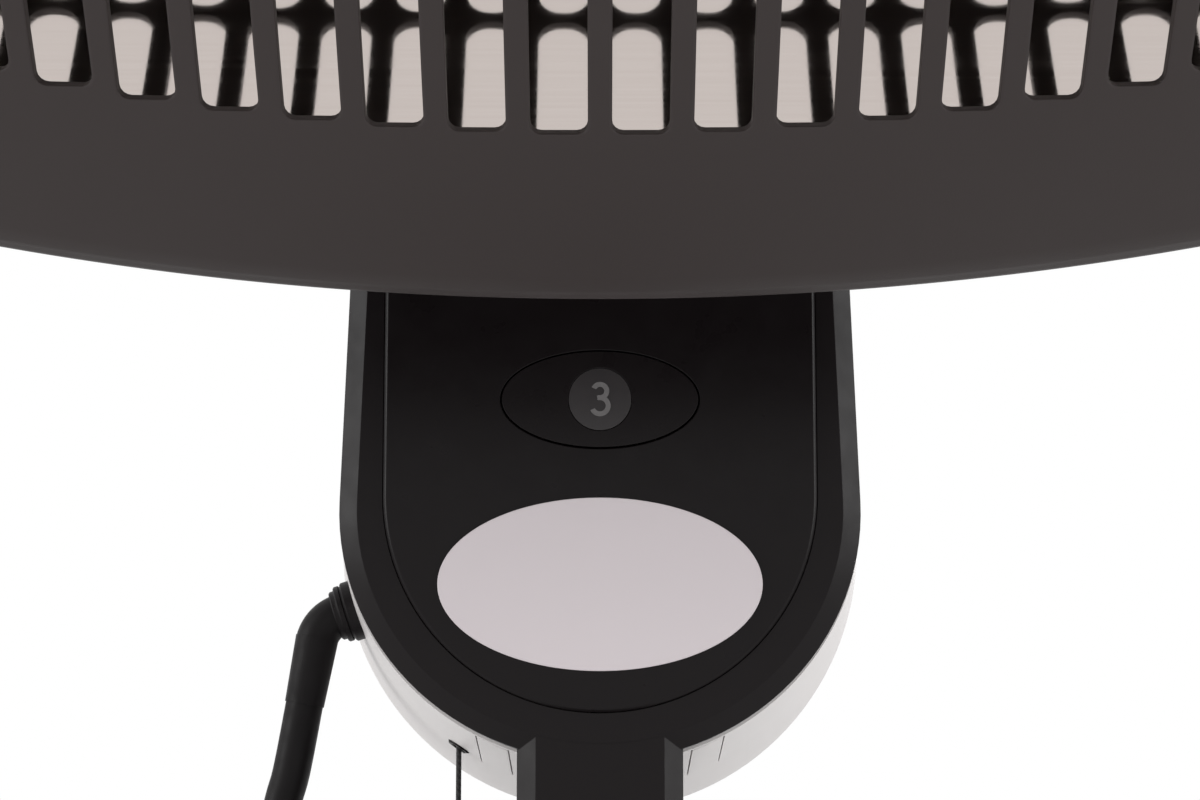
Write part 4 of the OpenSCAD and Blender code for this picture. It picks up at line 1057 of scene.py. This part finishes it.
def prism(outline, depth, place, axis):
    """An outline in a plane, raised by the depth to both sides of its place along an axis."""
    n = len(outline)
    verts = [(x, y, -depth) for x, y in outline] + [(x, y, depth) for x, y in outline]
    faces = [tuple(range(n - 1, -1, -1)), tuple(range(n, 2 * n))]
    faces += [(i, (i + 1) % n, n + (i + 1) % n, n + i) for i in range(n)]
    obj = new_mesh("prism", verts, faces)
    obj.matrix_world = Matrix.Translation(place) @ axis.to_track_quat("Z", "Y").to_matrix().to_4x4()
    bake_place(obj)
    return obj


def hexagon(size):
    turns = [math.radians(a) for a in range(0, 360, 60)]
    return [(size * math.cos(a), size * math.sin(a)) for a in turns]


def cross(size):
    """A cross with four blunt arms."""
    h = size * 0.2
    return [(size, -h), (size, h), (h, h), (h, size), (-h, size), (-h, h), (-size, h), (-size, -h),
            (-h, -h), (-h, -size), (h, -size), (h, -h)]


def drive(obj, axis, outline, depth):
    """Sinks a driver's recess into the head of every screw, whose heads face along the axis."""
    recesses = []
    for points in islands(obj):
        top = max(p.dot(axis) for p in points)
        head = [p for p in points if p.dot(axis) > top - 0.01 * MM]
        recesses.append(prism(outline, depth, sum(head, Vector()) / len(head), axis))
    combine(obj, recesses, "DIFFERENCE")


# The box's lower half is drawn up where the cover ends and let out towards the back, the screw
# covers keep a seam that is wider at the front, and the eyelet is cut to the housing's slope
COVER_R = 55.05 * MM
COVER_BACK = STAND_Y - 19 * MM
SWELL_BACK = STAND_Y + 45 * MM
DRAWN_UP = 0.044
LET_OUT = 0.024
RIM_IN = 46 * MM
RIM_OUT = 50.5 * MM
SEAM = 0.12 * MM
NOTCH = 0.9 * MM
EYELET_AT = Vector((-31.5 * MM, STAND_Y + 14 * MM, BOX_Z - 48.4 * MM))
EYELET_FACE = Vector((-0.534, -0.136, -0.835))
EYELET_PROUD = 0.35 * MM


def flatter_chin(obj, reach=1):
    """Draws the box's half round up at the front and lets it out at the back."""
    for v in obj.data.vertices:
        fall, r = BOX_Z - v.co.z, math.hypot(v.co.x, v.co.z - BOX_Z)
        if fall > 0 and r < reach:
            back = min(1, max(0, (v.co.y - COVER_BACK) / (SWELL_BACK - COVER_BACK)))
            edge = min(1, max(0, (r - RIM_IN) / (RIM_OUT - RIM_IN)))
            v.co.z += fall * edge * (DRAWN_UP - (DRAWN_UP + LET_OUT) * back)


def cover_chin(obj):
    flatter_chin(obj, COVER_R)


def pad_chin(obj):
    """The covers over the screws follow the housing and leave a seam, wider at the front."""
    flatter_chin(obj)
    for side in (1, -1):
        pad = [v for v in obj.data.vertices if v.co.x * side > 0]
        for axis, before in ((0, SEAM), (1, NOTCH)):
            middle = sum(f(v.co[axis] for v in pad) for f in (min, max)) / 2
            for v in pad:
                v.co[axis] += before if v.co[axis] < middle else -SEAM


def flush_eyelet(obj):
    """Takes off what stands out of the housing."""
    depth = 5 * MM
    square = [(depth, depth), (-depth, depth), (-depth, -depth), (depth, -depth)]
    middle = EYELET_AT + (EYELET_PROUD + depth) * EYELET_FACE
    combine(obj, [prism(square, depth, middle, EYELET_FACE)], "DIFFERENCE")


class HEATER_OT_box(bpy.types.Operator):
    """Round the edges of the control box's cover, panel, label, button and housing."""

    bl_idname = "heater.box"
    bl_label = "Control box"

    def execute(self, context):
        dress_all(
            ("front_cover", "box_cover", 0.5 * MM, cover_chin),
            ("face_panel", "box_panel", 0.25 * MM), ("label_plate", "blank_label", 0.2 * MM),
            ("level_button", "oval_button", 0.2 * MM), ("button_lens", "level_disc", 0.1 * MM),
            ("rear_housing", "silver_housing", 0.35 * MM, flatter_chin),
            ("screw_covers", "snap_covers", 0.25 * MM, pad_chin),
            ("cord_eyelet", "cord_guide", 0.15 * MM, flush_eyelet),
        )
        return {"FINISHED"}


# The level's numeral: two open bowls, each as its height on the disc, radius and ends of the arc
NUMERAL = ((1.72 * MM, 1.42 * MM, 155, -108), (-1.42 * MM, 1.72 * MM, 108, -155))
NUMERAL_STROKE = 1.05 * MM
NUMERAL_RAISE = 0.12 * MM


class HEATER_OT_numeral(bpy.types.Operator):
    """Print the level's plain numeral on the button's disc."""

    bl_idname = "heater.numeral"
    bl_label = "Numeral"

    def execute(self, context):
        upper, lower = (self.bowl(*bowl) for bowl in NUMERAL)
        combine(upper, [lower], "UNION")
        low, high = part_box("button_lens")
        upper.matrix_world = (
            Matrix.Translation(((low[0] + high[0]) / 2, low[1], (low[2] + high[2]) / 2))
            @ Matrix.Rotation(math.pi / 2, 4, "X"))
        bake_place(upper)
        upper.name = "level_numeral"
        finish_piece(upper, "digit")
        return {"FINISHED"}

    def bowl(self, height, radius, first, last, steps=40):
        """A flat arc with square ends, raised to both sides of the disc's face."""
        verts = []
        for i in range(steps + 1):
            t = math.radians(first + (last - first) * i / steps)
            for r in (radius - NUMERAL_STROKE / 2, radius + NUMERAL_STROKE / 2):
                verts.append((r * math.cos(t), height + r * math.sin(t), 0))
        faces = [(2 * i, 2 * i + 1, 2 * i + 3, 2 * i + 2) for i in range(steps)]
        arc = new_mesh("bowl", verts, faces)
        solid = arc.modifiers.new("raise", "SOLIDIFY")
        solid.thickness = 2 * NUMERAL_RAISE
        solid.offset = 0
        apply_modifiers(arc)
        recalculate_normals(arc)
        return arc


# The gland's section: radius and distance from its seat, in millimetres
GLAND_RINGS = (
    (4.4, -1.0), (6.6, -1.0), (6.8, -0.7), (6.8, 1.2), (6.5, 1.5), (6.2, 1.5),
    (6.1, 1.8), (6.4, 2.0), (6.4, 2.9), (6.1, 3.2), (5.7, 3.2), (5.6, 3.4),
    (5.6, 4.1), (5.3, 4.4), (4.4, 4.4), (4.4, -1.0),
)


class HEATER_OT_gland(bpy.types.Operator):
    """Turn the stepped cable gland with its rings."""

    bl_idname = "heater.gland"
    bl_label = "Cable gland"

    def execute(self, context):
        place, out, up = gland_place()
        gland = turned("gland_rings", [(r * MM, z * MM) for r, z in GLAND_RINGS], 64)
        turn = Matrix((up.cross(out), up, out)).transposed().to_4x4()
        gland.matrix_world = Matrix.Translation(place + Vector((0, STAND_Y, 0))) @ turn
        bake_place(gland)
        recalculate_normals(gland)
        smooth(gland, 30)
        finish_piece(gland, "cable_gland")
        return {"FINISHED"}


class HEATER_OT_hinge(bpy.types.Operator):
    """Round the edges of the tilt hinge and of its lobed knob."""

    bl_idname = "heater.hinge"
    bl_label = "Tilt hinge"

    def execute(self, context):
        dress_all(
            ("tilt_fork", "hinge_fork", 0.5 * MM), ("tilt_arm", "hinge_arm", 0.5 * MM),
            ("tilt_knob", "hinge_knob", 1.2 * MM), ("hinge_bolt", "hinge_pin", 0.4 * MM),
            ("hinge_washers", "hinge_rings", 0.3 * MM),
        )
        return {"FINISHED"}


class HEATER_OT_head(bpy.types.Operator):
    """Round the edges of the head's shell and of the lamps' holders."""

    bl_idname = "heater.head"
    bl_label = "Head"

    def execute(self, context):
        dress_all(
            ("head_shell", "head_back", 0.6 * MM), ("lamp_ends", "lamp_caps", 0.5 * MM),
            ("lamp_brackets", "lamp_saddles", 0.3 * MM),
        )
        return {"FINISHED"}


class HEATER_OT_stand(bpy.types.Operator):
    """Round the edges of the base, its socket and the pole's joint."""

    bl_idname = "heater.stand"
    bl_label = "Stand"

    def execute(self, context):
        dress_all(
            ("base_cover", "base_dish", 1.2 * MM), ("base_socket", "pole_socket", 0.8 * MM),
            ("pole_joint", "joint_ring", 0.3 * MM), ("base_feet", "foot_pads", 0.8 * MM),
            ("base_bolt", "ground_bolt", 0.3 * MM),
        )
        return {"FINISHED"}


class HEATER_OT_screws(bpy.types.Operator):
    """Round the screws' heads and sink their driver recesses."""

    bl_idname = "heater.screws"
    bl_label = "Screws"

    def execute(self, context):
        back = -(TO_HEAD.to_3x3() @ Vector((0, 0, 1)))
        for node, name, axis, outline, depth in (
            ("housing_screws", "housing_fixings", Vector((0, 1, 0)), cross(2.1 * MM), 1.1 * MM),
            ("guard_screws", "guard_fixings", -back, cross(2.0 * MM), 1.1 * MM),
            ("socket_screws", "socket_fixings", Vector((0, 0, 1)), hexagon(2.3 * MM), 1.8 * MM),
            ("fork_bolts", "fork_fixings", Vector((0, 0, 1)), hexagon(2.2 * MM), 1.8 * MM),
            ("arm_bolts", "arm_fixings", back, hexagon(2.0 * MM), 1.5 * MM),
        ):
            screws = softened(node, name, 0.35 * MM)
            drive(screws, axis, outline, depth)
            smooth(screws, 35)
            finish_piece(screws, node)
        return {"FINISHED"}


class HEATER_PT_panel(bpy.types.Panel):
    """The heater's pieces in the sidebar."""

    bl_idname = "HEATER_PT_panel"
    bl_label = "Patio Heater"
    bl_space_type = "VIEW_3D"
    bl_region_type = "UI"
    bl_category = "Heater"

    def draw(self, context):
        for operator in OPERATORS:
            self.layout.operator(operator.bl_idname)
        for group in ("guard", "lead", "finish"):
            box = self.layout.box()
            for key in settings(group).__annotations__:
                box.prop(settings(group), key)


OPERATORS = (
    HEATER_OT_studio, HEATER_OT_finishes, HEATER_OT_lead, HEATER_OT_pull, HEATER_OT_guard,
    HEATER_OT_head, HEATER_OT_box, HEATER_OT_numeral, HEATER_OT_gland, HEATER_OT_hinge,
    HEATER_OT_stand, HEATER_OT_screws,
)
GROUPS = {"guard": GuardSettings, "lead": LeadSettings, "finish": FinishSettings}


def register():
    for group in GROUPS.values():
        bpy.utils.register_class(group)
    for name, group in GROUPS.items():
        setattr(bpy.types.Scene, "heater_" + name, bpy.props.PointerProperty(type=group))
    for operator in OPERATORS:
        bpy.utils.register_class(operator)
    bpy.utils.register_class(HEATER_PT_panel)


def unregister():
    bpy.utils.unregister_class(HEATER_PT_panel)
    for operator in reversed(OPERATORS):
        bpy.utils.unregister_class(operator)
    for name, group in GROUPS.items():
        delattr(bpy.types.Scene, "heater_" + name)
        bpy.utils.unregister_class(group)


def main():
    register()
    bpy.ops.heater.studio()
    bpy.ops.heater.finishes()
    bpy.ops.heater.lead()
    bpy.ops.heater.pull()
    bpy.ops.heater.guard()
    bpy.ops.heater.head()
    bpy.ops.heater.box()
    bpy.ops.heater.numeral()
    bpy.ops.heater.gland()
    bpy.ops.heater.hinge()
    bpy.ops.heater.stand()
    bpy.ops.heater.screws()


if __name__ == "__main__":
    main()
